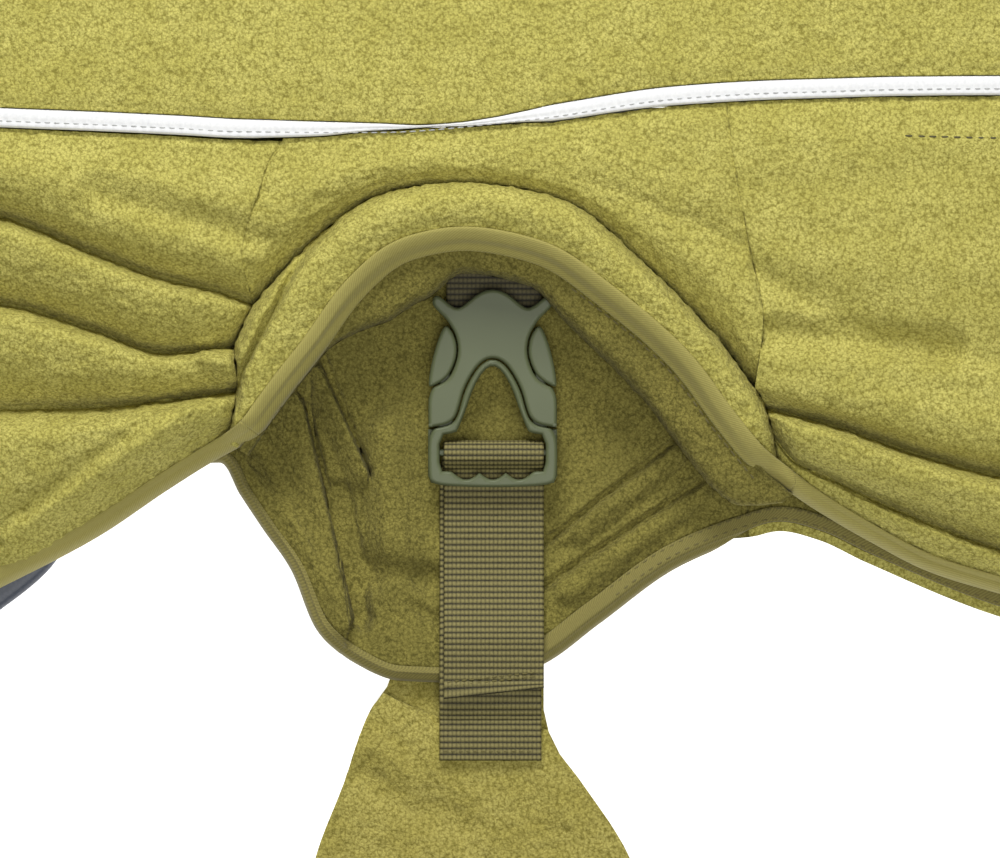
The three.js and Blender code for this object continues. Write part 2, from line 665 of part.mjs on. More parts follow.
function bellyBand() {
  const columns = shares(6);
  const rows = columns.map((q) => {
    const turn = -157.5 + BAND_FOLD;
    const profile = spread(-46, turn, 7).map((y) => [y, 0]);
    for (const angle of spread(-Math.PI / 2, -Math.PI * 1.5, 6).slice(1)) {
      profile.push([turn + BAND_FOLD * Math.cos(angle), BAND_FOLD + BAND_FOLD * Math.sin(angle)]);
    }
    spread(turn, bandTopEnd(q), 7).slice(1).forEach((y) => profile.push([y, 2 * BAND_FOLD]));
    return profile.map(([y, z]) => new THREE.Vector3(lerp(BAND.left(y), BAND.right(y), q), y, z));
  });
  return wrappedWall(rows, FLEECE, 1);
}

// Buckle
const BUCKLE = { x: -1.85, y: -7.2, z: FLEECE + LIFT };

function outline(points) {
  return new THREE.Shape(points.map(([x, y]) => new THREE.Vector2(x, y)));
}

const mirrored = (points) => [...points, ...[...points].reverse().filter(([x]) => x !== 0).map(([x, y]) => [-x, y])];

// Outlines are given from the bottom of the buckle, right half first
const GAP_LINE = [[15.9, 15.1], [11.6, 15.8], [9.6, 17.2], [8.6, 19.5], [7.2, 25], [4.2, 30.2], [2, 32.1], [0, 32.6]];
const HOLE_LINE = [[8.6, 14.8], [7, 18.7], [4.8, 25.2], [2.3, 29.4], [0, 30.8]];
const MALE_OUTLINE = mirrored([[0, 0], [12, 0.4], [15.4, 1.2], [16.2, 3], [16.2, 14.7],
  ...GAP_LINE.slice(1).map(([x, y]) => [Math.max(0, x - 0.25), y - 0.35])]);
const WINDOW = mirrored([[0, 2.3], [2.4, 2.4], [3.3, 3.1], [4.6, 2.3], [7.6, 2.3], [9.8, 4], [13.3, 4],
  [13.3, 13.2], [9.2, 13.8], ...HOLE_LINE]);
const PAD = [[15.9, 25], [12.6, 26.7], [10.5, 28.8], [8.8, 33.4], [9.3, 37.8], [11.8, 41.4], [13.8, 37], [15.3, 31.5], [16.1, 26.5]];
const FEMALE_OUTLINE = mirrored([
  ...[...GAP_LINE].reverse(), [16.1, 15.1], [16.1, 24.6], [12.3, 26.2], [10.2, 28.4], [8.45, 33.4], [9, 38], [11.3, 41.9],
  [12.6, 43.2], [15.4, 46], [14.6, 48.2], [13.2, 48], [10.4, 45.6], [8.7, 44.9], [7, 45.9], [3.5, 48.9], [0, 49.9],
]);
const ARM = [[10, 14.2], [13.6, 14.2], [13.6, 24.5], [12.6, 29.5], [10.9, 29.5], [10, 24.5]];
const CHANNEL = [[9.6, 15], [14, 15], [14, 24.2], [12.8, 28], [10.4, 28.6], [9.6, 24.5]];
const STRAP_WAY = [[-13.3, -1], [13.3, -1], [13.3, 5], [-13.3, 5]];
const CROSSBAR = [[-14, 8], [14, 8], [14, 9.6], [-14, 9.6]];

function extruded(points, from, to, holes = []) {
  const shape = outline(points);
  holes.forEach((hole) => shape.holes.push(new THREE.Path(outline(hole).getPoints())));
  const geometry = new THREE.ExtrudeGeometry(shape, { depth: to - from, bevelEnabled: false });
  geometry.translate(0, 0, from);
  return geometry;
}

const wasm = await Module();
wasm.setup();

function toSolid(geometry) {
  const bare = geometry.clone();
  bare.deleteAttribute('normal');
  bare.deleteAttribute('uv');
  const merged = mergeVertices(bare, 1e-4);
  return new wasm.Manifold(new wasm.Mesh({
    numProp: 3,
    vertProperties: new Float32Array(merged.attributes.position.array),
    triVerts: new Uint32Array(merged.index.array),
  }));
}

function fromSolid(solid) {
  const mesh = solid.getMesh();
  const geometry = new THREE.BufferGeometry();
  geometry.setAttribute('position', new THREE.BufferAttribute(new Float32Array(mesh.vertProperties), 3));
  geometry.setIndex([...mesh.triVerts]);
  geometry.computeVertexNormals();
  return geometry;
}

const leftHand = (points) => points.map(([x, y]) => [-x, y]).reverse();

function buckleMale() {
  let solid = toSolid(extruded(MALE_OUTLINE, 0, BUCKLE_THICK, [WINDOW]));
  solid = solid.subtract(toSolid(extruded(STRAP_WAY, -1, 3.9)));
  solid = solid.add(toSolid(extruded(CROSSBAR, 3.2, 5.2)));
  for (const hand of [(points) => points, leftHand]) {
    solid = solid.add(toSolid(extruded(hand(ARM), 2.6, 5.6)));
    solid = solid.add(toSolid(extruded(hand(PAD), 0.6, BUCKLE_THICK - 0.4)));
  }
  return fromSolid(solid);
}

function buckleFemale() {
  const low = FEMALE_OUTLINE.map(([x, y]) => [x, Math.min(y, 43.4)]).filter(([x, y]) => Math.abs(x) < 12 || y < 43);
  let solid = toSolid(extruded(FEMALE_OUTLINE, 4.2, BUCKLE_THICK + 0.4));
  solid = solid.add(toSolid(extruded(low, 0, 4.3)));
  for (const hand of [(points) => points, leftHand]) {
    solid = solid.subtract(toSolid(extruded(hand(CHANNEL), 2.2, 6)));
  }
  return fromSolid(solid);
}

// Strap: sewn on the belly band, up through the buckle, round its bar and back down to the turned hem
const STRAP_LEFT = -13.6;
const BAR = { y: BUCKLE.y + 8.8, z: BUCKLE.z + 4.2, bend: 3.05 };

function strap() {
  const under = [[-75.7, 7.1], [-66, 7.1], [-60, 8.9], [-45.5, 8.9], [-40, 7.3], [-34, 5.6], [-28, 4.2],
    [-20, 3.7], [-9, 3.7], [-3, 3.9]];
  const bend = spread(-Math.PI / 2, Math.PI / 2, 6).map((angle) => (
    [BAR.y + BAR.bend * Math.cos(angle), BAR.z + BAR.bend * Math.sin(angle)]));
  const back = [[0, 10.5], [-1.6, 9.1], [-3.5, 6.95], [-9, 6.95], [-20, 7.0], [-28, 7.5], [-34, 8.9],
    [-40, 10.6], [-45.5, 12.2], [-55.5, 12.2]];
  const line = [...under, ...bend, ...back];
  const grid = line.map(([y, z], i) => spread(0, 1, 2).map((q) => {
    const tail = i >= under.length + 3;
    const left = tail ? STRAP_LEFT + 0.5 : STRAP_LEFT - 0.6;
    const x = left + q * (tail ? WEBBING_WIDTH - 0.5 : WEBBING_WIDTH);
    const slant = i === line.length - 1 ? lerp(-1.6, 1.2, q) : 0;
    return new THREE.Vector3(x, y + slant, z);
  }));
  const columns = grid[0].map((_, c) => grid.map((row) => row[c]));
  return wrappedWall(columns, WEBBING_THICK, -1);
}

// Short webbing loop that holds the upper half of the buckle under the near side
function buckleWebbing() {
  const thick = 2 * WEBBING_THICK;
  const seat = SIDE.pipingZ(0) - FLEECE - LIFT - thick;
  const line = [[36.8, 3.6], [42, 3.6], [52, 4.6], [60, 7], [68, 10.6], [75, 15], [80.5, seat - 0.2], [94, seat]];
  const grid = line.map(([y, z]) => [-13.5, 0, 10.5].map((x) => new THREE.Vector3(x, y, z)));
  const columns = grid[0].map((_, c) => grid.map((row) => row[c]));
  return wrappedWall(columns, thick, -1);
}

// The coat
const coat = new THREE.Group();

function addPiece(name, geometry, colour, roughness = 0.95) {
  const mesh = new THREE.Mesh(geometry, new THREE.MeshStandardMaterial({ color: colour, roughness, metalness: 0 }));
  mesh.name = name;
  coat.add(mesh);
  return mesh;
}

// Half the gap at a far seam, as a share of the edge path
addPiece('back_panel', backPanel(), COLOURS.fleece);
addPiece('near_front_panel', lobedPanel(frontPoint), COLOURS.fleece);
addPiece('near_middle_panel', middlePanel(), COLOURS.fleece);
addPiece('near_rear_panel', lobedPanel(rearPoint), COLOURS.fleece);
addPiece('arch_roll', archRoll(), COLOURS.fleece);
addPiece('arch_lining', archLining(), COLOURS.lining);
addPiece('far_front_panel', farPanel(0, FAR_SEAMS.left - FAR_SEAMS.side, FAR_DOWNS), COLOURS.lining);
addPiece('far_middle_panel', farPanel(FAR_SEAMS.left + FAR_SEAMS.side, FAR_SEAMS.right - FAR_SEAMS.side, FAR_DOWNS), COLOURS.lining);
addPiece('far_rear_panel', farPanel(FAR_SEAMS.right + FAR_SEAMS.side, 1, [0, 0.5, 0.8, 1]), COLOURS.lining);
addPiece('near_piping', nearPiping(), COLOURS.piping, 0.5);
addPiece('far_piping', farPiping(), COLOURS.piping, 0.5);
addPiece('near_front_binding', boundEdge(frontPoint, RUNS.slice(0, -1), 1), COLOURS.binding);
addPiece('arch_binding', archBinding(), COLOURS.binding);
addPiece('near_rear_binding', boundEdge(rearPoint, RUNS.slice(0, -1), -1), COLOURS.binding);
addPiece('far_lower_binding', farLowerBinding(), COLOURS.binding);
addPiece('neck_binding', endBinding(-1), COLOURS.binding);
addPiece('hem_binding', endBinding(1), COLOURS.binding);
addPiece('chest_panel', chestPanel(), COLOURS.shell, 0.6);
addPiece('belly_band', bellyBand(), COLOURS.fleece);
addPiece('strap', strap(), COLOURS.webbing, 0.8);
addPiece('buckle_webbing', buckleWebbing(), COLOURS.webbing, 0.8);
for (const [name, shape] of [['buckle_male', buckleMale], ['buckle_female', buckleFemale]]) {
  addPiece(name, shape(), COLOURS.plastic, 0.45).position.set(BUCKLE.x, BUCKLE.y, BUCKLE.z);
}

export default coat;
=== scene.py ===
# %% [markdown]
# # A fleece winter coat for a dog, lying on its side
# The coat is a tube of double fleece with a hole for the belly. It lies flat on one side, so the other side
# faces up, and the belly hole shows as an arch with a rolled and bound edge. A strap runs from a belly band
# through a buckle inside the arch. The lesson builds each sewn piece as a grid of points worked out from a
# few short tables, gives it a thickness and a nap, and dresses it in a material made like the real cloth.

# %% Load the frame
import math
from types import SimpleNamespace

import bpy
import numpy as np
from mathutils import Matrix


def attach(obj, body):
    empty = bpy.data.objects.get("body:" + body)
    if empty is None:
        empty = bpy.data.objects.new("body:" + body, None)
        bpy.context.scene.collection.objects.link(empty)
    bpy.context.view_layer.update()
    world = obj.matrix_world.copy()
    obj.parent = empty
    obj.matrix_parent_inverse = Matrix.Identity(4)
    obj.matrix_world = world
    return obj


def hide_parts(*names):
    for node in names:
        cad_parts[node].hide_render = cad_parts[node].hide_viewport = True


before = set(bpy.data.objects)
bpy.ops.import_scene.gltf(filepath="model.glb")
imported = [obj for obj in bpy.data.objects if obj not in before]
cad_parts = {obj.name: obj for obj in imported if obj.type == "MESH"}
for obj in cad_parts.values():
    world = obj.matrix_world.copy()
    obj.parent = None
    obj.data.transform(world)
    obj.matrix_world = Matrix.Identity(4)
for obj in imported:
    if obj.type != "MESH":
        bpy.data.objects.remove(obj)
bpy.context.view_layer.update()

# %% [markdown]
# ## Sizes
# All sizes below are in millimetres, as a pattern cutter would write them. One function turns them into
# Blender's metres when a mesh is made. The first group are the sizes that the CAD model is driven by, so
# a piece made from them lies where its CAD node is.

# %% Driving sizes
MM = 0.001
HALF_LENGTH = 230.0
FLEECE = 3.0
SEAM_GAP = 0.3
LIFT = 0.45
EDGE_BAND = 6.3
PIPING_WIDTH = 4.7
BINDING_HALF = 3.0
FOLD_RADIUS = 9.0
FAR_PIPING_Y = 86.0
WEBBING_WIDTH = 25.6
WEBBING_THICK = 1.5
SHELL_CLOTH = 1.5
BUCKLE_THICK = 8.0
STEEPEST = 0.45
STEEPEST_LOBE = 0.9
PANEL_END = HALF_LENGTH - EDGE_BAND
PIPING_SIDE = PIPING_WIDTH / 2 + SEAM_GAP

# %% [markdown]
# ## Camera, light and floor
# The photograph is a close-up taken straight down on the coat. It was taken from far off with a long lens,
# which keeps near and far cloth at nearly the same scale, so the camera stands high and its lens is worked
# out from the width of cloth that it should show.

# %% Camera
PHOTO_WIDTH = 250.0
PHOTO_CENTRE = (0.0, 7.5)
CAMERA_HEIGHT = 2500.0
CLOTH_LEVEL = 18.0
SENSOR = 36.0

camera = bpy.data.objects.new("camera", bpy.data.cameras.new("camera"))
bpy.context.scene.collection.objects.link(camera)
camera.location = (PHOTO_CENTRE[0] * MM, PHOTO_CENTRE[1] * MM, CAMERA_HEIGHT * MM)
camera.data.sensor_width = SENSOR
camera.data.lens = SENSOR * (CAMERA_HEIGHT - CLOTH_LEVEL) / PHOTO_WIDTH
camera.data.clip_end = 20.0
bpy.context.scene.camera = camera
print("Lens, mm:", round(camera.data.lens))

# %% [markdown]
# Colours are picked as sRGB hex values, the way a colour picker shows them, but Blender's shaders add light,
# which needs linear values. One function does the change. Another adds a shader node with its settings and
# its links, so that each material below reads as a short list of what its surface is made of.

# %% Colours and nodes
def linear(hex_colour):
    parts = [int(hex_colour[i:i + 2], 16) / 255 for i in (1, 3, 5)]
    return tuple(c / 12.92 if c <= 0.04045 else ((c + 0.055) / 1.055) ** 2.4 for c in parts) + (1.0,)


def add_node(tree, kind, settings=None, inputs=None):
    made = tree.nodes.new("ShaderNode" + kind)
    for name, value in (settings or {}).items():
        setattr(made, name, value)
    for name, value in (inputs or {}).items():
        if isinstance(value, bpy.types.NodeSocket):
            tree.links.new(value, made.inputs[name])
        else:
            made.inputs[name].default_value = value
    return made


def new_material(name, **shader_values):
    material = bpy.data.materials.new(name)
    material.use_nodes = True
    shader = material.node_tree.nodes["Principled BSDF"]
    for label, value in shader_values.items():
        shader.inputs[label.replace("_", " ")].default_value = value
    return material, material.node_tree, shader


# %% [markdown]
# The picture is a cut-out on white, lit by big soft lamps from above and from the spine side, which leaves
# the lower face of each fold dark. A large lamp on that side gives this, and a pale floor bounces light back.

# %% Floor and lamps
floor_material, _, floor_shader = new_material("white_table", Roughness=0.9)
floor_shader.inputs["Base Color"].default_value = linear("#fbfbfb")
floor_shader.inputs["Emission Color"].default_value = linear("#ffffff")
floor_shader.inputs["Emission Strength"].default_value = 0.8

floor_mesh = bpy.data.meshes.new("table_top")
FLOOR_HALF = 4.0
floor_mesh.from_pydata(
    [(x * FLOOR_HALF, y * FLOOR_HALF, -0.0004) for x, y in ((-1, -1), (1, -1), (1, 1), (-1, 1))],
    [], [(0, 1, 2, 3)])
floor_mesh.materials.append(floor_material)
floor = bpy.data.objects.new("table_top", floor_mesh)
bpy.context.scene.collection.objects.link(floor)

LAMPS = [
    SimpleNamespace(name="spine_softbox", at=(-0.15, 1.30, 0.90), size=0.55, watts=21.5),
    SimpleNamespace(name="overhead_softbox", at=(0.10, -0.30, 1.58), size=0.9, watts=16.5),
]
for lamp in LAMPS:
    light = bpy.data.lights.new(lamp.name, "AREA")
    light.size = lamp.size
    light.energy = lamp.watts
    shone = bpy.data.objects.new(lamp.name, light)
    shone.location = lamp.at
    aim = np.array([0.0, 0.0, 0.0]) - np.array(lamp.at)
    shone.rotation_euler = (
        math.acos(-aim[2] / np.linalg.norm(aim)), 0, math.atan2(aim[1], aim[0]) - math.pi / 2)
    shone.visible_camera = False
    bpy.context.scene.collection.objects.link(shone)

world = bpy.data.worlds.new("studio")
bpy.context.scene.world = world
world.use_nodes = True
world.node_tree.nodes["Background"].inputs["Color"].default_value = linear("#fdfcf8")
world.node_tree.nodes["Background"].inputs["Strength"].default_value = 0.07
bpy.context.scene.view_settings.view_transform = "Standard"
print("Lamps:", len(LAMPS))

# %% [markdown]
# ## Reading tables
# A fold or an edge is given by a few rows of numbers. Between the rows a smooth curve runs that never
# overshoots them, so a table can be read as a maker reads a pattern. Every function below works on whole
# arrays of places at once, which is what makes a fine grid of points quick.

# %% Curves from tables
def lerp(a, b, q):
    return a + (b - a) * q


def smoothstep(value, low, high):
    q = np.clip((value - low) / (high - low), 0, 1)
    return q * q * (3 - 2 * q)


def smooth_curve(at, values):
    at = np.array(at, float)
    values = np.array(values, float)
    steps = np.diff(values) / np.diff(at)
    before, after = steps[:-1], steps[1:]
    same_way = before * after > 0
    middle = np.where(same_way, 2 * before * after / np.where(same_way, before + after, 1), 0)
    tangents = np.concatenate([steps[:1], middle, steps[-1:]])

    def curve(x):
        x = np.asarray(x, float)
        i = np.clip(np.searchsorted(at, x) - 1, 0, len(at) - 2)
        width = at[i + 1] - at[i]
        q = np.clip((x - at[i]) / width, 0, 1)
        rest = 1 - q
        return (values[i] * rest * rest * (1 + 2 * q) + values[i + 1] * q * q * (3 - 2 * q)
                + width * q * rest * (tangents[i] * rest - tangents[i + 1] * q))

    return curve


def table(names, rows):
    at = [row[0] for row in rows]
    return SimpleNamespace(**{
        name: smooth_curve(at, [row[i] for row in rows]) for i, name in enumerate(names)})


def path_table(names, rows):
    """The first two columns are the points of a path; every column follows the share of its length."""
    steps = [math.dist(a[:2], b[:2]) for a, b in zip(rows, rows[1:])]
    runs = np.concatenate([[0], np.cumsum(steps)]) / sum(steps)
    return table(["share"] + names, [[run] + list(row) for run, row in zip(runs, rows)])


def path_frame(path, share):
    """Points of a path, and the direction square to it, to the left of its run."""
    step = 0.002
    before, after = np.maximum(0, share - step), np.minimum(1, share + step)
    dx, dy = path.x(after) - path.x(before), path.y(after) - path.y(before)
    long = np.hypot(dx, dy)
    return path.x(share), path.y(share), -dy / long, dx / long


def points(x, y, z):
    return np.stack(np.broadcast_arrays(x, y, z), axis=-1).astype(float)


def steps_between(stops, spacings):
    """Places from the first stop to the last, each stretch at its own spacing."""
    parts = [np.linspace(a, b, max(2, round((b - a) / spacing) + 1))[:-1]
             for a, b, spacing in zip(stops, stops[1:], spacings)]
    return np.concatenate(parts + [[stops[-1]]])


# %% [markdown]
# ## The nap of the fleece
# Fleece is knitted from polyester yarn whose loops are brushed up and then tumbled, so that the fibres clump
# into soft lumps about 2 mm across. The lumps are real relief here: the cloth's points move out and in by
# two layers of smooth noise.
# The noise is worked out with numpy from a seeded table, so each run makes the same nap.

# %% Nap noise
LUMP = 2.3
NAP_HEIGHT = 0.5
random = np.random.default_rng(11)
directions = random.normal(size=(256, 3))
directions /= np.linalg.norm(directions, axis=1, keepdims=True)
shuffle = random.permutation(256)


def noise(place, size):
    """Smooth noise about zero, with bumps about as large as size."""
    scaled = place / size
    cell = np.floor(scaled).astype(int)
    part = scaled - cell
    ease = part ** 3 * (part * (part * 6 - 15) + 10)
    total = np.zeros(place.shape[:-1])
    for corner in np.ndindex(2, 2, 2):
        at = cell + corner
        pick = shuffle[(shuffle[(shuffle[at[..., 0] % 256] + at[..., 1]) % 256] + at[..., 2]) % 256]
        value = np.sum(directions[pick] * (part - corner), axis=-1)
        weight = np.prod(np.where(corner, ease, 1 - ease), axis=-1)
        total += value * weight
    return total


def nap(place):
    return NAP_HEIGHT * (1.2 * noise(place, LUMP) + 0.9 * noise(place + 40, LUMP * 0.6))


print("Nap relief, mm:", NAP_HEIGHT)

# %% [markdown]
# ## Cloth with a thickness
# Each piece starts as a grid of points on its face. The wall below it is closed by a coarser grid, because
# nobody sees the inside up close: its cells are four by four of the face's, and only its rim keeps every
# point, so that the edge joins the face without a gap.

# %% Walls from grids
COARSE = 4


def grid_normals(grid):
    along = np.gradient(grid, axis=0)
    across = np.gradient(grid, axis=1)
    normal = np.cross(along, across)
    return normal / np.maximum(np.linalg.norm(normal, axis=-1, keepdims=True), 1e-9)


def wall_mesh(name, top, bottom, coarse=COARSE, measured=None):
    rows, columns = top.shape[:2]
    normals = grid_normals(top)
    flip = np.mean(np.sum(normals * (top - bottom), axis=-1)) < 0
    kept_rows = sorted({*range(0, rows, coarse), rows - 1})
    kept_columns = sorted({*range(0, columns, coarse), columns - 1})
    used = np.zeros((rows, columns), bool)
    used[np.ix_(kept_rows, kept_columns)] = True
    used[[0, -1], :] = True
    used[:, [0, -1]] = True
    upper = np.arange(rows * columns).reshape(rows, columns)
    lower = np.full((rows, columns), -1)
    lower[used] = rows * columns + np.arange(used.sum())
    quads = np.stack([upper[:-1, :-1], upper[1:, :-1], upper[1:, 1:], upper[:-1, 1:]], -1).reshape(-1, 4)
    faces = quads.tolist()
    for r0, r1 in zip(kept_rows, kept_rows[1:]):
        for c0, c1 in zip(kept_columns, kept_columns[1:]):
            loop = [lower[r0, c] for c in (range(c0, c1) if r0 == 0 else [c0])]
            loop += [lower[r, c1] for r in (range(r0, r1) if c1 == columns - 1 else [r0])]
            loop += [lower[r1, c] for c in (range(c1, c0, -1) if r1 == rows - 1 else [c1])]
            loop += [lower[r, c0] for r in (range(r1, r0, -1) if c0 == 0 else [r1])]
            faces.append([int(i) for i in loop])
    rim = [(upper[0, c], upper[0, c + 1], lower[0, c + 1], lower[0, c]) for c in range(columns - 1)]
    rim += [(upper[-1, c + 1], upper[-1, c], lower[-1, c], lower[-1, c + 1]) for c in range(columns - 1)]
    rim += [(upper[r + 1, 0], upper[r, 0], lower[r, 0], lower[r + 1, 0]) for r in range(rows - 1)]
    rim += [(upper[r, -1], upper[r + 1, -1], lower[r + 1, -1], lower[r, -1]) for r in range(rows - 1)]
    faces += [[int(i) for i in quad] for quad in rim]
    if flip:
        faces = [face[::-1] for face in faces]
    place = np.concatenate([top.reshape(-1, 3), bottom[used]]) * MM
    mesh = bpy.data.meshes.new(name)
    mesh.from_pydata(place.tolist(), [], faces)
    mesh.shade_smooth()
    # Arc lengths along the grid, in millimetres, serve as the cloth's own coordinates
    smooth = top if measured is None else measured
    arcs = [np.cumsum(np.linalg.norm(np.diff(smooth, axis=axis, prepend=np.take(smooth, [0], axis)), axis=-1),
                      axis=axis) for axis in (0, 1)]
    cloth = np.stack(arcs[::-1], axis=-1)
    uv = np.concatenate([cloth.reshape(-1, 2), cloth[used]])
    corners = np.empty(len(mesh.loops), int)
    mesh.loops.foreach_get("vertex_index", corners)
    mesh.uv_layers.new(name="cloth").data.foreach_set("uv", uv[corners].ravel())
    return mesh


def dress(name, mesh, material, node=None):
    """Puts a mesh in the scene as a piece that stands for its CAD node."""
    mesh.materials.append(material)
    piece = bpy.data.objects.new(name, mesh)
    bpy.context.scene.collection.objects.link(piece)
    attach(piece, "root")
    if node:
        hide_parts(node)
    print(f"{name}: {len(mesh.polygons)} faces")
    return piece


def below(top, thickness):
    """The wall's lower face, straight below the upper one and further down where it is steep."""
    upright = np.abs(grid_normals(top)[..., 2:])
    drop = np.concatenate([np.zeros_like(top[..., :2]), thickness / np.maximum(upright, STEEPEST)], axis=-1)
    return top - drop


def inside(grid, thickness, side):
    """The lower face of cloth that turns under, square to each row's line in y and z."""
    turn = np.gradient(grid, axis=1)
    long = np.hypot(turn[..., 1], turn[..., 2])
    long = np.maximum(long, 1e-9)
    inner = grid.copy()
    inner[..., 1] += side * thickness * turn[..., 2] / long
    inner[..., 2] -= side * thickness * turn[..., 1] / long
    return inner


# %% [markdown]
# Three things make a plain sheet look sewn. The nap moves its points out. At a seam the cloth is pulled
# down, which leaves a soft groove with small puckers at the stitches. And it has slack, which shows as long
# shallow creases. Each is a small function on the grid's points, and a piece uses the ones it needs.

# %% Nap, seams and creases
GROOVE_DEPTH = 1.3
GROOVE_WIDTH = 1.7
PUCKER = 7.0


def edge_distance(grid, side):
    """Distance of each point from one side of its grid, along the cloth, and the place along that side."""
    axis = 0 if side in ("first_row", "last_row") else 1
    lengths = np.linalg.norm(np.diff(grid, axis=axis), axis=-1)
    start = np.zeros_like(np.take(lengths, [0], axis))
    run = np.concatenate([start, np.cumsum(lengths, axis=axis)], axis=axis)
    if side.startswith("last"):
        run = np.take(run, [-1], axis) - run
    other = 1 - axis
    lengths = np.linalg.norm(np.diff(grid, axis=other, prepend=np.take(grid, [0], other)), axis=-1)
    return run, np.cumsum(lengths, axis=other)


def sewn(grid, sides, depth=GROOVE_DEPTH):
    drop = np.zeros(grid.shape[:2])
    for side in sides:
        away, along = edge_distance(grid, side)
        pucker = 0.35 * np.sin(2 * np.pi * along / PUCKER + 2 * noise(grid, 15.0)) * np.exp(-(away / 5.0))
        drop = np.maximum(drop, depth * np.exp(-((away / GROOVE_WIDTH) ** 2)) + 0.5 * pucker)
    lowered = grid.copy()
    lowered[..., 2] -= drop
    return lowered


def folds_at(x, y, folds):
    """Height of soft folds: ends of the crest line, height, and reach to the left and right of its run."""
    total = np.zeros(np.broadcast(x, y).shape)
    for x0, y0, x1, y1, height, left, right in folds:
        dx, dy = x1 - x0, y1 - y0
        q = np.clip(((x - x0) * dx + (y - y0) * dy) / (dx * dx + dy * dy), 0, 1)
        off_x, off_y = x - x0 - dx * q, y - y0 - dy * q
        reach = np.where(dx * off_y - dy * off_x > 0, left, right)
        away = np.minimum(1, np.hypot(off_x, off_y) / reach)
        total += height * (1 - away ** 2) ** 2
    return total


def napped(grid, outward=1, strength=1.0):
    normals = grid_normals(grid)
    if np.mean(normals[..., 2]) * outward < 0:
        normals = -normals
    return grid + normals * (strength * nap(grid))[..., None]


# %% [markdown]
# ## Materials
# Fleece first. Its fibres scatter light in all directions, so it is fully rough, with a little sheen where
# it is seen edge on. Its tumbled fibres clump into grains of about a millimetre, which are cells of a Voronoi
# pattern bent by noise. Light is lost between them, so the gaps are darker. A finer tangle lies on top, and
# brushing leaves soft patches of lighter and darker nap.

# %% Fleece
GRAIN = 0.85
TANGLE = 0.42


def fleece_material(name, light, deep, patch):
    material, tree, shader = new_material(name, Roughness=0.95, Sheen_Weight=0.04)
    shader.inputs["Specular IOR Level"].default_value = 0.1
    place = add_node(tree, "TexCoord").outputs["Object"]

    bend = add_node(tree, "TexNoise", inputs={"Vector": place, "Scale": 1 / (1.1 * MM), "Detail": 2.0})
    bent = add_node(tree, "VectorMath", {"operation": "MULTIPLY_ADD"}, {
        0: bend.outputs["Color"], 1: (1.3 * MM,) * 3, 2: place})
    grains = add_node(tree, "TexVoronoi", inputs={"Vector": bent.outputs[0], "Scale": 1 / (GRAIN * MM)})
    tangle = add_node(tree, "TexNoise", inputs={
        "Vector": place, "Scale": 1 / (TANGLE * MM), "Detail": 3.0, "Roughness": 0.7})
    depth = add_node(tree, "Math", {"operation": "MULTIPLY_ADD"}, {
        0: grains.outputs["Distance"], 1: -0.55, 2: tangle.outputs["Fac"]})
    brushed = add_node(tree, "TexNoise", inputs={"Vector": place, "Scale": 1 / (9.0 * MM), "Detail": 3.0})
    brushed_range = add_node(tree, "MapRange", inputs={
        "Value": brushed.outputs["Fac"], "From Min": 0.35, "From Max": 0.65})

    nap_colour = add_node(tree, "Mix", {"data_type": "RGBA"}, {
        "Factor": brushed_range.outputs["Result"], 6: linear(light), 7: linear(patch)})
    shown = add_node(tree, "MapRange", inputs={
        "Value": depth.outputs[0], "From Min": -0.02, "From Max": 0.42})
    colour = add_node(tree, "Mix", {"data_type": "RGBA"}, {
        "Factor": shown.outputs["Result"], 6: linear(deep), 7: nap_colour.outputs[2]})
    tree.links.new(colour.outputs[2], shader.inputs["Base Color"])

    bump = add_node(tree, "Bump", inputs={"Strength": 0.7, "Distance": 0.4 * MM, "Height": depth.outputs[0]})
    tree.links.new(bump.outputs["Normal"], shader.inputs["Normal"])
    return material


outer_fleece = fleece_material("brushed_fleece", "#d0c870", "#8a823b", "#c3bb63")
# The lining is the same fleece as the outer face. This copy has painted shade in its colours, for the dimmer
# light inside the coat and under the lip.
shaded_lining_fleece = fleece_material("shaded_lining_fleece", "#938a46", "#5c5627", "#867e40")
print("Fleece materials made")

# %% [markdown]
# The edges are bound with a narrow elastic tape, knitted from polyester in fine slanting ribs. The ribs are
# about half a millimetre apart on the real tape and show as faint lines, so they are drawn at that size from
# the cloth's own coordinates, which follow the tape round its curves.

# %% Knitted binding
RIB = 0.5


def binding_material(name, light, deep):
    material, tree, shader = new_material(name, Roughness=0.8, Sheen_Weight=0.15, Sheen_Roughness=0.5)
    shader.inputs["Specular IOR Level"].default_value = 0.2
    cloth = add_node(tree, "UVMap", {"uv_map": "cloth"}).outputs["UV"]
    slant = add_node(tree, "Mapping", inputs={"Vector": cloth, "Rotation": (0, 0, math.radians(35))})
    ribs = add_node(tree, "TexWave", {"bands_direction": "X", "wave_profile": "SIN"}, {
        "Vector": slant.outputs["Vector"], "Scale": 0.314 / RIB, "Distortion": 0.3, "Detail": 1.0})
    place = add_node(tree, "TexCoord").outputs["Object"]
    yarn = add_node(tree, "TexNoise", inputs={"Vector": place, "Scale": 1 / (0.6 * MM), "Detail": 3.0})
    height = add_node(tree, "Math", {"operation": "MULTIPLY_ADD"}, {
        0: yarn.outputs["Fac"], 1: 0.8, 2: ribs.outputs["Fac"]})
    shown = add_node(tree, "MapRange", inputs={"Value": height.outputs[0], "From Min": 0.2, "From Max": 1.5})
    colour = add_node(tree, "Mix", {"data_type": "RGBA"}, {
        "Factor": shown.outputs["Result"], 6: linear(deep), 7: linear(light)})
    tree.links.new(colour.outputs[2], shader.inputs["Base Color"])
    bump = add_node(tree, "Bump", inputs={"Strength": 0.35, "Distance": 0.12 * MM, "Height": height.outputs[0]})
    tree.links.new(bump.outputs["Normal"], shader.inputs["Normal"])
    return material


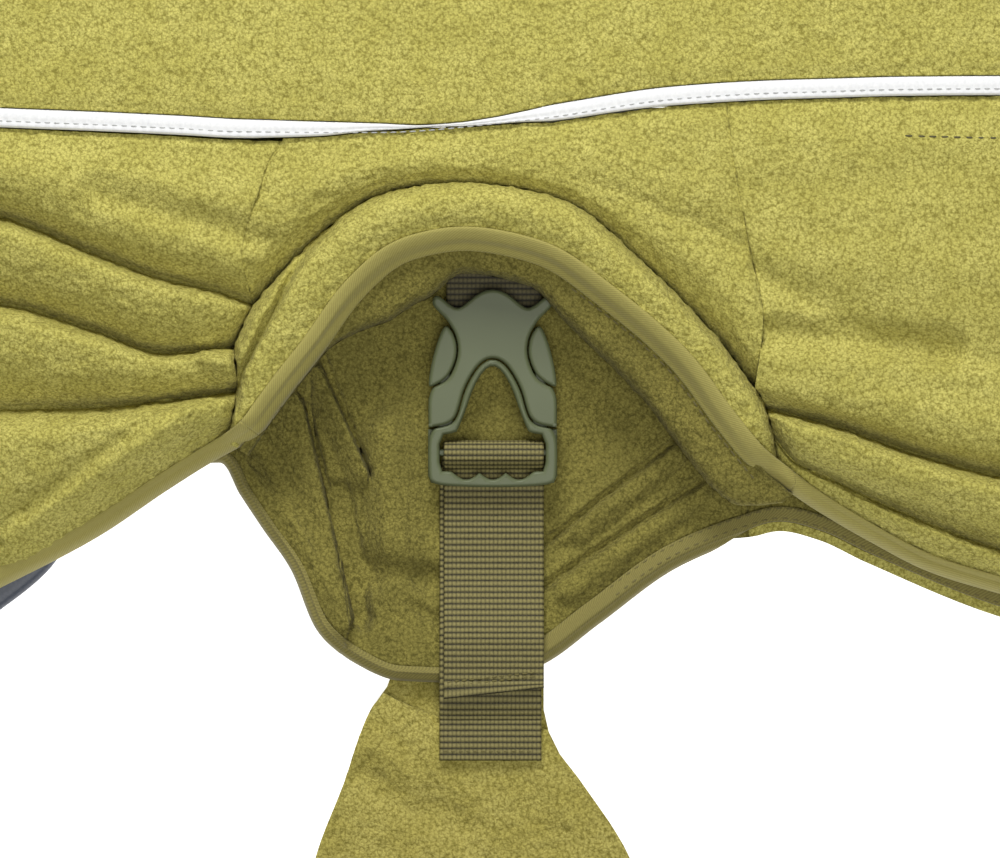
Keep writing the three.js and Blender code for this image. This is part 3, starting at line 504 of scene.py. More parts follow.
knit_binding = binding_material("knitted_binding", "#aaa15a", "#91884a")
# A copy of the same tape with painted shade in its colours, for the far binding, which lies in the shade of the
# near side.
shaded_far_knit = binding_material("knitted_binding_painted_shade", "#8b8248", "#706939")

# %% [markdown]
# The piping is a white reflective tape: a woven backing with a layer of tiny glass beads in resin. By day
# it is a smooth near-white with a faint grid from the weave below.

# %% Reflective tape
tape_white, tree, shader = new_material("glass_bead_tape", Roughness=0.45)
shader.inputs["Specular IOR Level"].default_value = 0.5
place = add_node(tree, "TexCoord").outputs["Object"]
grain = add_node(tree, "TexNoise", inputs={"Vector": place, "Scale": 1 / (0.8 * MM), "Detail": 2.0})
tone = add_node(tree, "Mix", {"data_type": "RGBA"}, {
    "Factor": grain.outputs["Fac"], 6: linear("#d9dadb"), 7: linear("#f6f6f4")})
tree.links.new(tone.outputs[2], shader.inputs["Base Color"])
bump = add_node(tree, "Bump", inputs={"Strength": 0.25, "Distance": 0.1 * MM, "Height": grain.outputs["Fac"]})
tree.links.new(bump.outputs["Normal"], shader.inputs["Normal"])

# %% [markdown]
# Webbing is woven from thick polyester yarn. Its ribs run across the strap about 1.5 mm apart, and each rib
# shows the tops of warp yarns about 1 mm apart. The relief is in the mesh; here the yarn tops are coloured
# tan where they catch the light and dark between.

# %% Webbing
YARN = 1.06
PICK = 1.5


def webbing_material(name, deep, light):
    material, tree, shader = new_material(name, Roughness=0.7, Specular_IOR_Level=0.12)
    shader.inputs["Specular IOR Level"].default_value = 0.35
    cloth = add_node(tree, "UVMap", {"uv_map": "cloth"}).outputs["UV"]
    axes = add_node(tree, "SeparateXYZ", inputs={0: cloth})
    waves = []
    for axis, pitch in (("X", PICK), ("Y", YARN)):
        turn = add_node(tree, "Math", {"operation": "MULTIPLY"}, {0: axes.outputs[axis], 1: math.pi / pitch})
        wave = add_node(tree, "Math", {"operation": "SINE"}, {0: turn.outputs[0]})
        waves.append(add_node(tree, "Math", {"operation": "ABSOLUTE"}, {0: wave.outputs[0]}).outputs[0])
    yarns = add_node(tree, "Math", {"operation": "MULTIPLY_ADD"}, {0: waves[1], 1: 0.5, 2: 0.5})
    tops = add_node(tree, "Math", {"operation": "MULTIPLY"}, {0: waves[0], 1: yarns.outputs[0]})
    place = add_node(tree, "TexCoord").outputs["Object"]
    fibres = add_node(tree, "TexNoise", inputs={"Vector": place, "Scale": 1 / (0.4 * MM), "Detail": 3.0})
    mixed = add_node(tree, "Math", {"operation": "MULTIPLY_ADD"}, {
        0: fibres.outputs["Fac"], 1: 0.6, 2: tops.outputs[0]})
    shown = add_node(tree, "MapRange", inputs={"Value": mixed.outputs[0], "From Min": 0.35, "From Max": 1.3})
    colour = add_node(tree, "Mix", {"data_type": "RGBA"}, {
        "Factor": shown.outputs["Result"], 6: linear(deep), 7: linear(light)})
    tree.links.new(colour.outputs[2], shader.inputs["Base Color"])
    bump = add_node(tree, "Bump", inputs={"Strength": 0.5, "Distance": 0.25 * MM, "Height": mixed.outputs[0]})
    tree.links.new(bump.outputs["Normal"], shader.inputs["Normal"])
    return material


strap_webbing = webbing_material("polyester_webbing", "#27230e", "#8b824f")
# The loop's copy is the same webbing with painted shade in its colours, for the shade it lies in under the lip.
shaded_loop_webbing = webbing_material("polyester_webbing_painted_shade", "#1c190b", "#5b5433")

# %% [markdown]
# The chest panel is a tightly woven shell cloth, dyed slate grey, with a thin coating that gives it a dull
# gloss. The buckle is injection moulded from acetal, a slightly waxy plastic: its broad faces are spark
# eroded in the mould to a fine matt grain. The thread is spun polyester.

# %% Shell cloth, moulded plastic and thread
shell_cloth, tree, shader = new_material("coated_shell_cloth", Roughness=0.5)
place = add_node(tree, "TexCoord").outputs["Object"]
weave = add_node(tree, "TexNoise", inputs={"Vector": place, "Scale": 1 / (0.7 * MM), "Detail": 2.0})
tone = add_node(tree, "Mix", {"data_type": "RGBA"}, {
    "Factor": weave.outputs["Fac"], 6: linear("#3b404a"), 7: linear("#5b606b")})
tree.links.new(tone.outputs[2], shader.inputs["Base Color"])
bump = add_node(tree, "Bump", inputs={"Strength": 0.3, "Distance": 0.1 * MM, "Height": weave.outputs["Fac"]})
tree.links.new(bump.outputs["Normal"], shader.inputs["Normal"])

moulded_acetal, tree, shader = new_material("moulded_acetal", Roughness=0.48, IOR=1.4)
place = add_node(tree, "TexCoord").outputs["Object"]
spark = add_node(tree, "TexNoise", inputs={"Vector": place, "Scale": 1 / (0.35 * MM), "Detail": 2.0})
flow = add_node(tree, "TexNoise", inputs={"Vector": place, "Scale": 1 / (14.0 * MM), "Detail": 1.0})
tone = add_node(tree, "Mix", {"data_type": "RGBA"}, {
    "Factor": flow.outputs["Fac"], 6: linear("#565d3f"), 7: linear("#5f6648")})
tree.links.new(tone.outputs[2], shader.inputs["Base Color"])
bump = add_node(tree, "Bump", inputs={"Strength": 0.12, "Distance": 0.08 * MM, "Height": spark.outputs["Fac"]})
tree.links.new(bump.outputs["Normal"], shader.inputs["Normal"])


def thread_material(name, light, deep):
    material, tree, shader = new_material(name, Roughness=0.7)
    place = add_node(tree, "TexCoord").outputs["Object"]
    twist = add_node(tree, "TexNoise", inputs={"Vector": place, "Scale": 1 / (0.3 * MM), "Detail": 1.0})
    tone = add_node(tree, "Mix", {"data_type": "RGBA"}, {
        "Factor": twist.outputs["Fac"], 6: linear(deep), 7: linear(light)})
    tree.links.new(tone.outputs[2], shader.inputs["Base Color"])
    return material


olive_thread = thread_material("olive_thread", "#7d7440", "#5d562c")
grey_thread = thread_material("grey_thread", "#c3c4c2", "#9d9e9c")
dark_thread = thread_material("dark_thread", "#5f5a38", "#474326")
print("Materials:", len(bpy.data.materials))

# %% [markdown]
# ## The lines of the near side
# Seen from above, the near side runs from the white piping down to its bound lower edge. These rows give,
# from neck to hem: where the piping lies and how high, how high the crests of the folds stand, how deep the
# folds are, the height of the bound edge and the place of the spine fold.

# %% Near side lines
SIDE = table(["x", "piping", "piping_z", "crest", "depth", "edge", "spine"], [
    [-230, 92, 17.4, 18.0, 0.25, 9.2, 136],
    [-195, 90, 18.2, 19.5, 0.4, 9.2, 146],
    [-160, 87, 20.5, 23.0, 0.75, 9.6, 151],
    [-125, 85.2, 22.6, 26.0, 1.0, 10.4, 153],
    [-100, 84.2, 23.2, 26.6, 1.0, 11.8, 154],
    [-79, 83.2, 23.6, 27.0, 1.0, 14.0, 155],
    [-66, 82.5, 23.8, 27.0, 0.97, 17.0, 155.5],
    [-31, 82.2, 24.2, 27.0, 0.9, 17.0, 156.5],
    [6, 85.2, 24.2, 27.0, 0.9, 17.0, 157.5],
    [43, 90.5, 24.0, 27.0, 0.9, 17.0, 157.5],
    [66, 92.0, 23.8, 27.0, 0.95, 16.5, 157.5],
    [82, 92.5, 23.5, 26.8, 1.0, 12.0, 157.4],
    [100, 93.0, 23.1, 26.4, 1.0, 10.0, 157],
    [125, 93.2, 22.6, 26.0, 1.0, 9.8, 156],
    [160, 93.2, 20.5, 23.0, 0.8, 9.6, 155],
    [195, 92.5, 18.2, 19.5, 0.5, 9.4, 153],
    [230, 92.0, 17.4, 18.0, 0.3, 9.2, 149],
])

# %% [markdown]
# The belly arch is the heart of the picture: the edge of the belly hole, bound with knitted tape, with the
# fleece rolled over behind it. One table follows the bound edge from its left foot over the top to its right
# foot, with the width and heights of the roll, the width of the lining that shows inside as a lip, and the
# depth and place of a pleat that parts the roll on its left side. The lip has its own profile: a crease
# under the binding, a soft bulge that catches the light, and a turned end.

# %% The belly arch
ARCH = path_table(["x", "y", "width", "crest", "groove", "edge", "lip", "pleat", "pleat_at"], [
    [-65.5, 2.5, 3.2, 21.5, 18.5, 20.0, 3, 0, 1],
    [-58.4, 12.9, 9.0, 26.0, 16.5, 23.0, 3, 3, 0.95],
    [-53.6, 19.4, 15.8, 28.0, 15.5, 24.5, 3.2, 7, 0.7],
    [-46.9, 27.8, 18.2, 29.0, 16.0, 25.0, 3.2, 7, 0.72],
    [-35.6, 43.1, 16.0, 30.0, 19.0, 26.0, 11.8, 3, 0.95],
    [-23.3, 52.4, 15.0, 31.0, 22.0, 26.5, 13.4, 0, 1],
    [-9.0, 55.0, 14.0, 31.0, 23.0, 26.5, 8.5, 0, 1],
    [9.0, 51.8, 14.4, 31.0, 22.5, 26.5, 8.5, 0, 1],
    [27.0, 40.2, 12.6, 30.5, 20.0, 26.5, 11.8, 0, 1],
    [45.5, 24.0, 10.8, 29.0, 18.0, 26.0, 13.3, 0, 1],
    [56.0, 10.0, 10.8, 27.0, 16.5, 24.5, 13.2, 0, 1],
    [62.0, 2.6, 7.8, 25.0, 16.5, 23.0, 13.2, 0, 1],
    [66.8, -3.2, 3.2, 21.5, 17.5, 20.5, 12, 0, 1],
])
ARCH_MEETS = SimpleNamespace(front_fold_b=0.11, front_fold_c=0.065, left_seam=0.172, right_seam=0.895,
                             rear_fold_b=0.93, rear_fold_c=0.968)
ROLL_TOP = 0.62
PLEAT_HALF = 0.055
LIP_Z = 15.6
LIP_FALL = smooth_curve([0, 0.06, 0.16, 0.5, 0.8, 0.92, 1], [0, 0.1, 0.28, 0.34, 0.44, 0.6, 1])


def arch_height(share, out):
    """Height of the roll, and of the lining inside the edge, at a distance outward from the edge line."""
    crest, edge, groove = ARCH.crest(share), ARCH.edge(share), ARCH.groove(share)
    inward = np.clip(-out / ARCH.lip(share), 0, 1)
    lining = edge - (edge - LIP_Z) * LIP_FALL(inward)
    q = out / ARCH.width(share)
    rising = lerp(edge, crest, np.sin(np.pi / 2 * np.clip(q / ROLL_TOP, 0, 1)))
    beyond = np.clip((q - ROLL_TOP) / (1 - ROLL_TOP), 0, 1)
    falling = lerp(groove, crest, np.sqrt(1 - beyond * beyond * 0.995))
    pleat = ARCH.pleat(share) * np.exp(-(((q - ARCH.pleat_at(share)) / PLEAT_HALF) ** 2))
    return np.where(out < 0, lining, np.where(q <= ROLL_TOP, rising, falling) - pleat)


def arch_points(share, out, z):
    x, y, nx, ny = path_frame(ARCH, share)
    return points(x + nx * out, y + ny * out, z)


def contour_points(share):
    return arch_points(share, ARCH.width(share) + 0.05, ARCH.groove(share))


print("Arch, mm across its feet:", round(float(ARCH.x(1) - ARCH.x(0))))

# %% [markdown]
# The fleece on both sides swells over part of the piping above the arch. Two curves say how far each panel
# reaches over it.

# %% Fleece over the piping
COVERED_FROM_BELOW = smooth_curve(
    [-62, -45, -30, -18, -10, -2, 6, 14, 30, 50], [0, 0.7, 2.15, 2.4, 1.9, 1.55, 1.25, 0.6, 0.3, 0])
COVERED_FROM_ABOVE = smooth_curve(
    [-70, -50, -30, -18, -10, -2, 6, 14, 25], [0, 0.4, 0.9, 1.8, 1.9, 1.6, 0.85, 0.1, 0])

# %% [markdown]
# ## Front and rear panels
# These panels are slack, and the cloth falls into lobes: long soft rolls that run from the arch towards the
# neck and the hem, each overhanging the crease below it. Rails mark the creases. Between two rails a profile
# says how the cloth rises from one crease and falls to the next, so a lobe is one row of the profile table.

# %% Rails and lobes
FRONT_RAILS = table(["x", "a", "b", "c", "edge"], [
    [-230, 66, 38, 8, -58],
    [-195, 68, 41, 9, -58],
    [-160, 67, 42, 11, -46],
    [-125, 60.7, 39, 12.7, -29.4],
    [-102, 51.5, 32.5, 12.7, -18],
    [-84, 44.6, 26.9, 13.7, -7],
    [-70, 41, 28.5, 14.8, 0],
    [-60, 37, 29.5, 15.5, 3],
])
REAR_RAILS = table(["x", "a", "b", "c", "edge"], [
    [60, 34.5, 10, -2, -5],
    [68, 33, 9.2, -5, -8],
    [74, 32, 8.3, -9.7, -12.4],
    [82, 30.3, 7, -11, -16],
    [95, 28, 3.3, -14.5, -21.5],
    [108, 26, -0.5, -18.3, -27],
    [125, 24, -4.5, -23.5, -31.5],
    [160, 22, -9, -31, -40],
    [195, 21, -12, -36, -46],
    [230, 21, -13, -40, -50],
])

CONTOUR = {name: contour_points(np.array(getattr(ARCH_MEETS, name))) for name in ("left_seam", "right_seam")}
SEAM_LEFT = table(["share", "x", "y"], [
    [0, -54, 79.3],
    [0.12, -57.5, 74.5],
    [0.3, -60, 67],
    [0.5, -62.8, 59],
    [0.7, -64.3, 51],
    [1, *CONTOUR["left_seam"][:2]],
])
SEAM_RIGHT = table(["share", "x", "y"], [
    [0, 56.5, 88.9],
    [0.2, 58.3, 74.5],
    [0.5, 62.5, 52],
    [0.75, 65.6, 35],
    [1, *CONTOUR["right_seam"][:2]],
])

BROW = smooth_curve([0, 0.25, 0.5, 0.75, 0.9, 1], [0, 0.75, 1, 0.86, 0.5, 0])
LOBE = smooth_curve([0, 0.05, 0.12, 0.22, 0.45, 0.7, 0.88, 1], [0, 0.55, 0.9, 1, 0.92, 0.7, 0.38, 0])
SOFT = smooth_curve([0, 0.2, 0.5, 0.8, 1], [0, 0.8, 1, 0.8, 0])
HEM_LOBE = smooth_curve([0, 0.08, 0.2, 0.45, 0.7, 0.88, 1], [0, 0.7, 1, 0.84, 0.46, 0.17, 0])
FRONT = SimpleNamespace(rails=FRONT_RAILS, depths=[14.5, 16, 16], lobes=[BROW, LOBE, LOBE, HEM_LOBE])
REAR = SimpleNamespace(rails=REAR_RAILS, depths=[3.0, 16, 15], lobes=[SOFT, SOFT, LOBE, HEM_LOBE])


def rail_lines(panel, x):
    """Place across and height of the five rails at x, from the piping down to the bound edge."""
    rails = panel.rails
    across = np.stack([SIDE.piping(x) - PIPING_SIDE, rails.a(x), rails.b(x), rails.c(x), rails.edge(x)])
    creases = [SIDE.crest(x) - depth * SIDE.depth(x) for depth in panel.depths]
    return across, np.stack([SIDE.piping_z(x), *creases, SIDE.edge(x)])


def lobe_surface(panel, x, place):
    """Place across and height at a place between rails: 0 at the piping, 4 at the bound edge."""
    x, place = np.broadcast_arrays(np.asarray(x, float), np.asarray(place, float))
    across, heights = rail_lines(panel, x)
    rail = np.clip(np.floor(place).astype(int), 0, 3)
    q = place - rail
    pick = lambda lines, i: np.take_along_axis(lines, i[None], axis=0)[0]
    y0, y1 = pick(across, rail), pick(across, rail + 1)
    floor_z = lerp(pick(heights, rail), pick(heights, rail + 1), q)
    profile = np.select([rail == i for i in range(4)], [lobe(q) for lobe in panel.lobes])
    rise = np.minimum(SIDE.crest(x) - floor_z, STEEPEST_LOBE * np.abs(y1 - y0))
    return lerp(y0, y1, q), floor_z + rise * profile


def front_border(place):
    folds = [ARCH_MEETS.left_seam, ARCH_MEETS.front_fold_b, ARCH_MEETS.front_fold_c, 0]
    meets = smooth_curve([1, 2, 3, 4], folds)
    contour = contour_points(meets(place))
    x = np.where(place < 1, SEAM_LEFT.x(place), contour[..., 0])
    return x, np.where(place < 1, SEAM_LEFT.y(place), contour[..., 1])


SEAM_REACH = 1.8


def rear_border(place):
    stops = [SEAM_REACH, 2, 3, 4]
    meets = smooth_curve(stops, [ARCH_MEETS.right_seam, ARCH_MEETS.rear_fold_b, ARCH_MEETS.rear_fold_c, 1])
    contour = contour_points(meets(place))
    x = np.where(place < SEAM_REACH, SEAM_RIGHT.x(place / SEAM_REACH), contour[..., 0])
    return x, np.where(place < SEAM_REACH, SEAM_RIGHT.y(place / SEAM_REACH), contour[..., 1])


def lobed_points(panel, end_x, border, seam_end, run, place):
    """Points of a lobed panel: run is 0 at the garment's end and 1 at the arch."""
    border_x, border_y = border(place)
    x = lerp(end_x, border_x, run)
    y, z = lobe_surface(panel, x, place)
    y = y + (border_y - lobe_surface(panel, border_x, place)[0]) * run ** 6
    dip = np.where(place < seam_end, 0.6, 5.0)
    end = np.clip((run - 0.955) / 0.045, 0, 1)
    return points(x, y, z - dip * (1 - np.sqrt(1 - 0.98 * end * end)))


def front_points(run, place):
    return lobed_points(FRONT, -PANEL_END, front_border, 1, run, place)


def rear_points(run, place):
    return lobed_points(REAR, PANEL_END, rear_border, 2, run, place)


# %% [markdown]
# The points are closest together where the picture looks, and further apart towards the neck and the hem,
# which lie outside it. Small slack creases come next: in the real coat they fan out from the places where
# the panels are caught down by the arch and by the seams.

# %% Build the lobed panels
FINE = 0.62
COARSER = 1.9
FRONT_CREASES = [
    (-125, 74, -62, 66, 0.9, 9, 9),
    (-100, 66, -62, 55, -2.6, 7, 5),
    (-112, 20, -66, 23, 0.7, 5, 5),
    (-122, -20, -84, 8, 3.0, 5, 12),
    (-119, -13, -82, 12, -1.3, 4, 3),
    (-73, 27, -66, 22, 2.6, 5, 5),
    (-215, 60, -150, 57, 1.2, 9, 9),
    (-212, 24, -150, 30, -1.2, 9, 9),
    (-215, -28, -140, -18, 1.0, 8, 8),
]
REAR_CREASES = [
    (64, 66, 118, 72, -0.7, 8, 8),
    (66, 50, 125, 48, 0.8, 8, 8),
    (64, 31, 112, 27, -4.0, 7, 6),
    (70, 24, 125, 14, -0.9, 6, 6),
    (74, 2, 118, -8, 0.6, 4, 4),
    (140, 60, 212, 66, 1.0, 10, 10),
    (145, 6, 214, 8, -1.0, 8, 8),
    (150, -22, 212, -28, 0.8, 6, 6),
]


def build_lobed_panel(name, points_at, creases):
    run_stops = steps_between([0, 0.6, 1], [COARSER / 160, FINE / 160])
    spans = [(22, 0.3), (26, 0.24), (26, 0.24), (32, 0.24)]
    place_stops = [0.0]
    for rail, (span, steep_share) in enumerate(spans):
        place_stops += list(rail + steps_between([0, steep_share, 1], [0.45 / span, 0.62 / span]))[1:]
    place = np.array(place_stops)[:, None]
    grid = points_at(run_stops[None, :], place)
    grid[..., 2] += folds_at(grid[..., 0], grid[..., 1], creases)
    wall = below(grid, FLEECE)
    grid = sewn(grid, ["first_row"], 0.9)
    return dress(name, wall_mesh(name, napped(grid), wall), outer_fleece, name)


build_lobed_panel("near_front_panel", front_points, FRONT_CREASES)
build_lobed_panel("near_rear_panel", rear_points, REAR_CREASES)

# %% [markdown]
# ## Middle panel
# The panel over the arch has four curved sides that its neighbours already fix: the piping, two seams and
# the foot of the roll. A Coons patch fills such a frame: it blends the two pairs of sides and takes away the
# corners that were counted twice.

# %% Middle panel
MIDDLE_CREASES = [
    (-48, 70, -20, 74, 0.8, 7, 7),
    (20, 78, 50, 66, 0.9, 8, 8),
    (48, 50, 60, 30, 0.7, 5, 5),
    (-64, 55, -47, 51, -2.2, 6, 4),
]


def middle_points(u, v):
    left = points(SEAM_LEFT.x(v), SEAM_LEFT.y(v), 0)
    right = points(SEAM_RIGHT.x(v), SEAM_RIGHT.y(v), 0)
    top_x = lerp(SEAM_LEFT.x(0), SEAM_RIGHT.x(0), u)
    top = points(top_x, SIDE.piping(top_x) - PIPING_SIDE, 0)
    share = lerp(ARCH_MEETS.left_seam, ARCH_MEETS.right_seam, u)
    low = contour_points(share) * (1, 1, 0)
    corners = [points(seam.x(end), seam.y(end), 0) for end in (0, 1) for seam in (SEAM_LEFT, SEAM_RIGHT)]
    u, v = u[..., None], v[..., None]
    counted_twice = lerp(lerp(corners[0], corners[1], u), lerp(corners[2], corners[3], u), v)
    place = lerp(top, low, v) + lerp(left, right, u) - counted_twice
    u, v = u[..., 0], v[..., 0]
    x = np.clip(place[..., 0], -66, 68)
    crown = SIDE.piping_z(x) + 2.2 * np.sin(np.pi * np.minimum(1, v * 1.1))
    centre = lerp(crown, ARCH.groove(share), smoothstep(v, 0.72, 1))
    left_share, right_share = (1 - u) ** 4, u ** 4
    z = (centre * (1 - left_share - right_share) + lobe_surface(FRONT, x, v)[1] * left_share
         + lobe_surface(REAR, x, v * 2)[1] * right_share)
    return points(place[..., 0], place[..., 1], z)


u, v = np.meshgrid(np.linspace(0, 1, 190), np.linspace(0, 1, 84))
grid = middle_points(u, v)
grid[..., 2] += folds_at(grid[..., 0], grid[..., 1], MIDDLE_CREASES) * np.sin(np.pi * v)
grid[..., 1] += COVERED_FROM_BELOW(grid[..., 0]) * (1 - v) ** 6
wall = below(grid, FLEECE)
grid = sewn(grid, ["first_row", "first_column", "last_column"], 0.9)
dress("near_middle_panel", wall_mesh("near_middle_panel", napped(grid), wall), outer_fleece,
      "near_middle_panel")

# %% [markdown]
# ## The rolled edge of the arch
# Behind the bound edge the fleece rolls over into a thick soft cuff, and inside it the lining shows as a
# lip that turns down into the coat. Both are swept along the arch's path.

# %% Roll and lining lip
ARCH_STEPS = 330
share = np.linspace(0, 1, ARCH_STEPS)[:, None]
q = np.linspace(0, 1, 30)[None, :]
out = 0.4 + (ARCH.width(share) - 0.4) * q
grid = arch_points(share, out, arch_height(share, out))
plumpness = 0.5 * noise(points(grid[..., 0], grid[..., 1], 0), 26.0) * np.sin(np.pi * q)
tucked_under = 3.0 * (1 - smoothstep(share, 0.0, 0.035) * smoothstep(1 - share, 0.0, 0.06))
grid[..., 2] += plumpness - tucked_under
wall = below(grid, FLEECE)
dress("arch_roll", wall_mesh("arch_roll", napped(grid), wall), outer_fleece, "arch_roll")

LINING_WALL = 2.2
inward = np.linspace(1, 0, 28)[None, :]
past_foot = np.linspace(0, 1, 12)[1:, None]
share = np.concatenate([share, np.ones_like(past_foot)])
past_foot = np.concatenate([np.zeros((ARCH_STEPS, 1)), past_foot])
out = -np.maximum(inward * ARCH.lip(share), 0.4)
grid = arch_points(share, out * (1 - 0.7 * past_foot ** 1.5), arch_height(share, out) - 0.2)
grid += points(6.5 * past_foot, -5.5 * past_foot, -2.0 * past_foot)
wall = below(grid, LINING_WALL)
dress("arch_lining", wall_mesh("arch_lining", napped(grid, strength=0.7), wall), shaded_lining_fleece,
      "arch_lining")

# %% [markdown]
# ## Knitted bindings
# The binding is a soft tape folded over the raw edge and stitched through. On the arch it is a plump cord of
# tape, and on the lower edges it is a strip on the cloth with a bead beyond the cut edge. Both follow the
# cloth's own points, moved out by the thickness of the tape.

# %% Bindings of the near side
TAPE_PLACES = np.linspace(-1, 1, 17)
BEAD_DROP = 2.8
JOINT_CLEAR = 5.5
TAPE_STEP = 0.6


def edge_of_panel(points_at, runs, side):
    """Points of a panel's lower edge for the tape: from a turn past the cut edge to 3 mm up the cloth."""
    scan = np.linspace(4, 2.05, 400)[:, None]
    line = points_at(runs[None, :], scan)
    away = np.linalg.norm(line - line[:1], axis=-1)
    edge = line[0]
    along = np.gradient(edge, axis=0) * (1, 1, 0)
    along /= np.linalg.norm(along, axis=-1, keepdims=True)
    square = np.stack([along[:, 1], -along[:, 0], np.zeros(len(runs))], -1) * side
    rows = []
    for place in TAPE_PLACES * BINDING_HALF:
        if place < 0:
            rows.append(edge - square * place * 0.9 - (0, 0, BEAD_DROP * (place / BINDING_HALF) ** 2))
        else:
            rows.append(line[np.argmax(away >= place, axis=0), np.arange(len(runs))])
    return np.stack(rows, 1)


def even_rows(rows, step):
    """The same strip with its rows at even steps, softened where two edges meet."""
    run = np.concatenate([[0], np.cumsum(np.linalg.norm(np.diff(rows[:, 8], axis=0), axis=1))])
    even = np.arange(0, run[-1], step)
    flat = rows.reshape(len(rows), -1)
    strip = np.stack([np.interp(even, run, column) for column in flat.T], 1)
    weights = np.exp(-((np.arange(-12, 13) * step / 3.6) ** 2))
    padded = np.pad(strip, ((12, 12), (0, 0)), mode="edge")
    soft = np.stack([np.convolve(column, weights / weights.sum(), "valid") for column in padded.T], 1)
    return soft.reshape(len(even), *rows.shape[1:]), run


runs = steps_between([0, 0.6, 0.99], [0.012, 0.0026])
front_rows = edge_of_panel(front_points, runs, 1)
rear_rows = edge_of_panel(rear_points, runs, -1)[::-1]
share = np.linspace(0.0, 1.0, 420)[:, None]
half = np.minimum(BINDING_HALF, ARCH.width(share) * 0.85)
arch_rows = arch_points(share, TAPE_PLACES * half, arch_height(share, TAPE_PLACES * half))
foot_left, foot_right = float(ARCH.x(0)), float(ARCH.x(1))
strips = [front_rows[front_rows[:, 8, 0] < foot_left - JOINT_CLEAR], arch_rows[14:-12],
          rear_rows[rear_rows[:, 8, 0] > foot_right + JOINT_CLEAR + 1.5]]
tape, run = even_rows(np.concatenate(strips), TAPE_STEP)
joints = np.cumsum([len(strip) for strip in strips])[:2]
splits = [0, *(int(run[joint] / TAPE_STEP) for joint in joints), len(tape) - 1]
tape_crown = 0.35 + 1.35 * np.sqrt(1 - 0.94 * TAPE_PLACES ** 2)
raised = sum(np.exp(-(((np.arange(len(tape)) - split) * TAPE_STEP / 5.0) ** 2)) for split in splits[1:3])
over = tape + points(0, 0, tape_crown[None, :] + 0.16 * noise(tape, 7.0) + 1.5 * raised[:, None])
under = tape + points(0, 0, 0.25)
for name, start, stop in zip(("near_front_binding", "arch_binding", "near_rear_binding"), splits, splits[1:]):
    rows = slice(start, stop + 1)
    measured = points(0, TAPE_PLACES * BINDING_HALF, TAPE_STEP * np.arange(start, stop + 1)[:, None])
    strip = wall_mesh(name, over[rows], under[rows], measured=measured)
    dress(name, strip, knit_binding, name)

# %% [markdown]
# ## Piping
# The reflective tape is folded and caught in the seam along the back, so it stands up as a narrow flat
# strip with a line of stitches down its middle. Where the coat bends most, over the arch, the fleece swells
# over it and it looks narrower.

# %% Piping
x = steps_between([-PANEL_END, -128, 128, PANEL_END], [4.0, 0.5, 4.0])[:, None]
q = np.linspace(-1, 1, 9)[None, :]
low_side = -PIPING_WIDTH / 2 + COVERED_FROM_BELOW(x)
high_side = PIPING_WIDTH / 2 - COVERED_FROM_ABOVE(x)
y = SIDE.piping(x) + lerp(low_side, high_side, (q + 1) / 2)
stitch_dip = 0.3 * np.exp(-(((q + 0.35) / 0.22) ** 2)) * (1 - 0.4 * np.cos(2 * np.pi * x / 2.4))
cords = 0.1 * np.cos(2 * np.pi * x / 1.5) * smoothstep(q, -0.2, 0.6)
height = SIDE.piping_z(x) + 0.5 + 0.55 * (1 - q ** 4) - stitch_dip + cords
grid = points(x, y, height)
grid[..., 2] += 0.15 * noise(grid, 9.0)
wall = points(x, y, SIDE.piping_z(x) - FLEECE)
dress("near_piping", wall_mesh("near_piping", grid, wall), tape_white, "near_piping")

y = FAR_PIPING_Y + q * PIPING_WIDTH / 2
grid = points(x, y, FLEECE)
wall = points(x, y, 0)
dress("far_piping", wall_mesh("far_piping", grid, wall), tape_white, "far_piping")

# %% [markdown]
# ## Back panel
# One panel runs from the near piping over the spine and round to the far piping. Its section is a gentle
# rise, a half circle at the spine fold and a flat stretch on the table, and the section is swept from neck
# to hem.

# %% Back panel
def back_profile(x, spacing):
    spine = SIDE.spine(x)
    turn = spine - FOLD_RADIUS
    start = SIDE.piping(x) + PIPING_SIDE - COVERED_FROM_ABOVE(x)
    rise = steps_between([0, 0.55, 1], [spacing / 60, 0.03])
    y = [lerp(start, turn, q) for q in rise]
    z = [lerp(SIDE.piping_z(x), 2 * FOLD_RADIUS, smoothstep(q, 0, 1)) for q in rise]
    for angle in np.linspace(np.pi / 2, -np.pi / 2, 20)[1:]:
        y.append(turn + FOLD_RADIUS * np.cos(angle))
        z.append(np.full_like(x, FOLD_RADIUS + FOLD_RADIUS * np.sin(angle)))
    for q in np.linspace(0, 1, 14)[1:]:
        y.append(lerp(turn, FAR_PIPING_Y + PIPING_SIDE, q))
        z.append(np.zeros_like(x))
    return points(np.stack([x] * len(y), -1), np.stack(y, -1), np.stack(z, -1))


x = steps_between([-PANEL_END, -126, 126, PANEL_END], [2.4, 0.72, 2.4])
grid = back_profile(x, 0.72)
wall = inside(grid, FLEECE, 1)
lying = smoothstep(grid[..., 2], 2.0, 7.0)
slack = 0.9 * noise(points(grid[..., 0], grid[..., 1] * 2, 0), 34.0)
away, _ = edge_distance(grid, "first_column")
grid[..., 2] += lying * (slack * smoothstep(away, 2, 12) - 0.8 * np.exp(-((away / GROOVE_WIDTH) ** 2)))
grid = lerp(grid, napped(grid), lying[..., None])
dress("back_panel", wall_mesh("back_panel", grid, wall), outer_fleece, "back_panel")

# %% [markdown]
# ## The far side
# Through the belly hole we look at the inner face of the far side, which lies on the table. Its lower edge
# is bound with the same knitted tape, laid flat and sewn down with two rows of stitches. The cloth there is
# pressed into folds by the strap and the buckle.

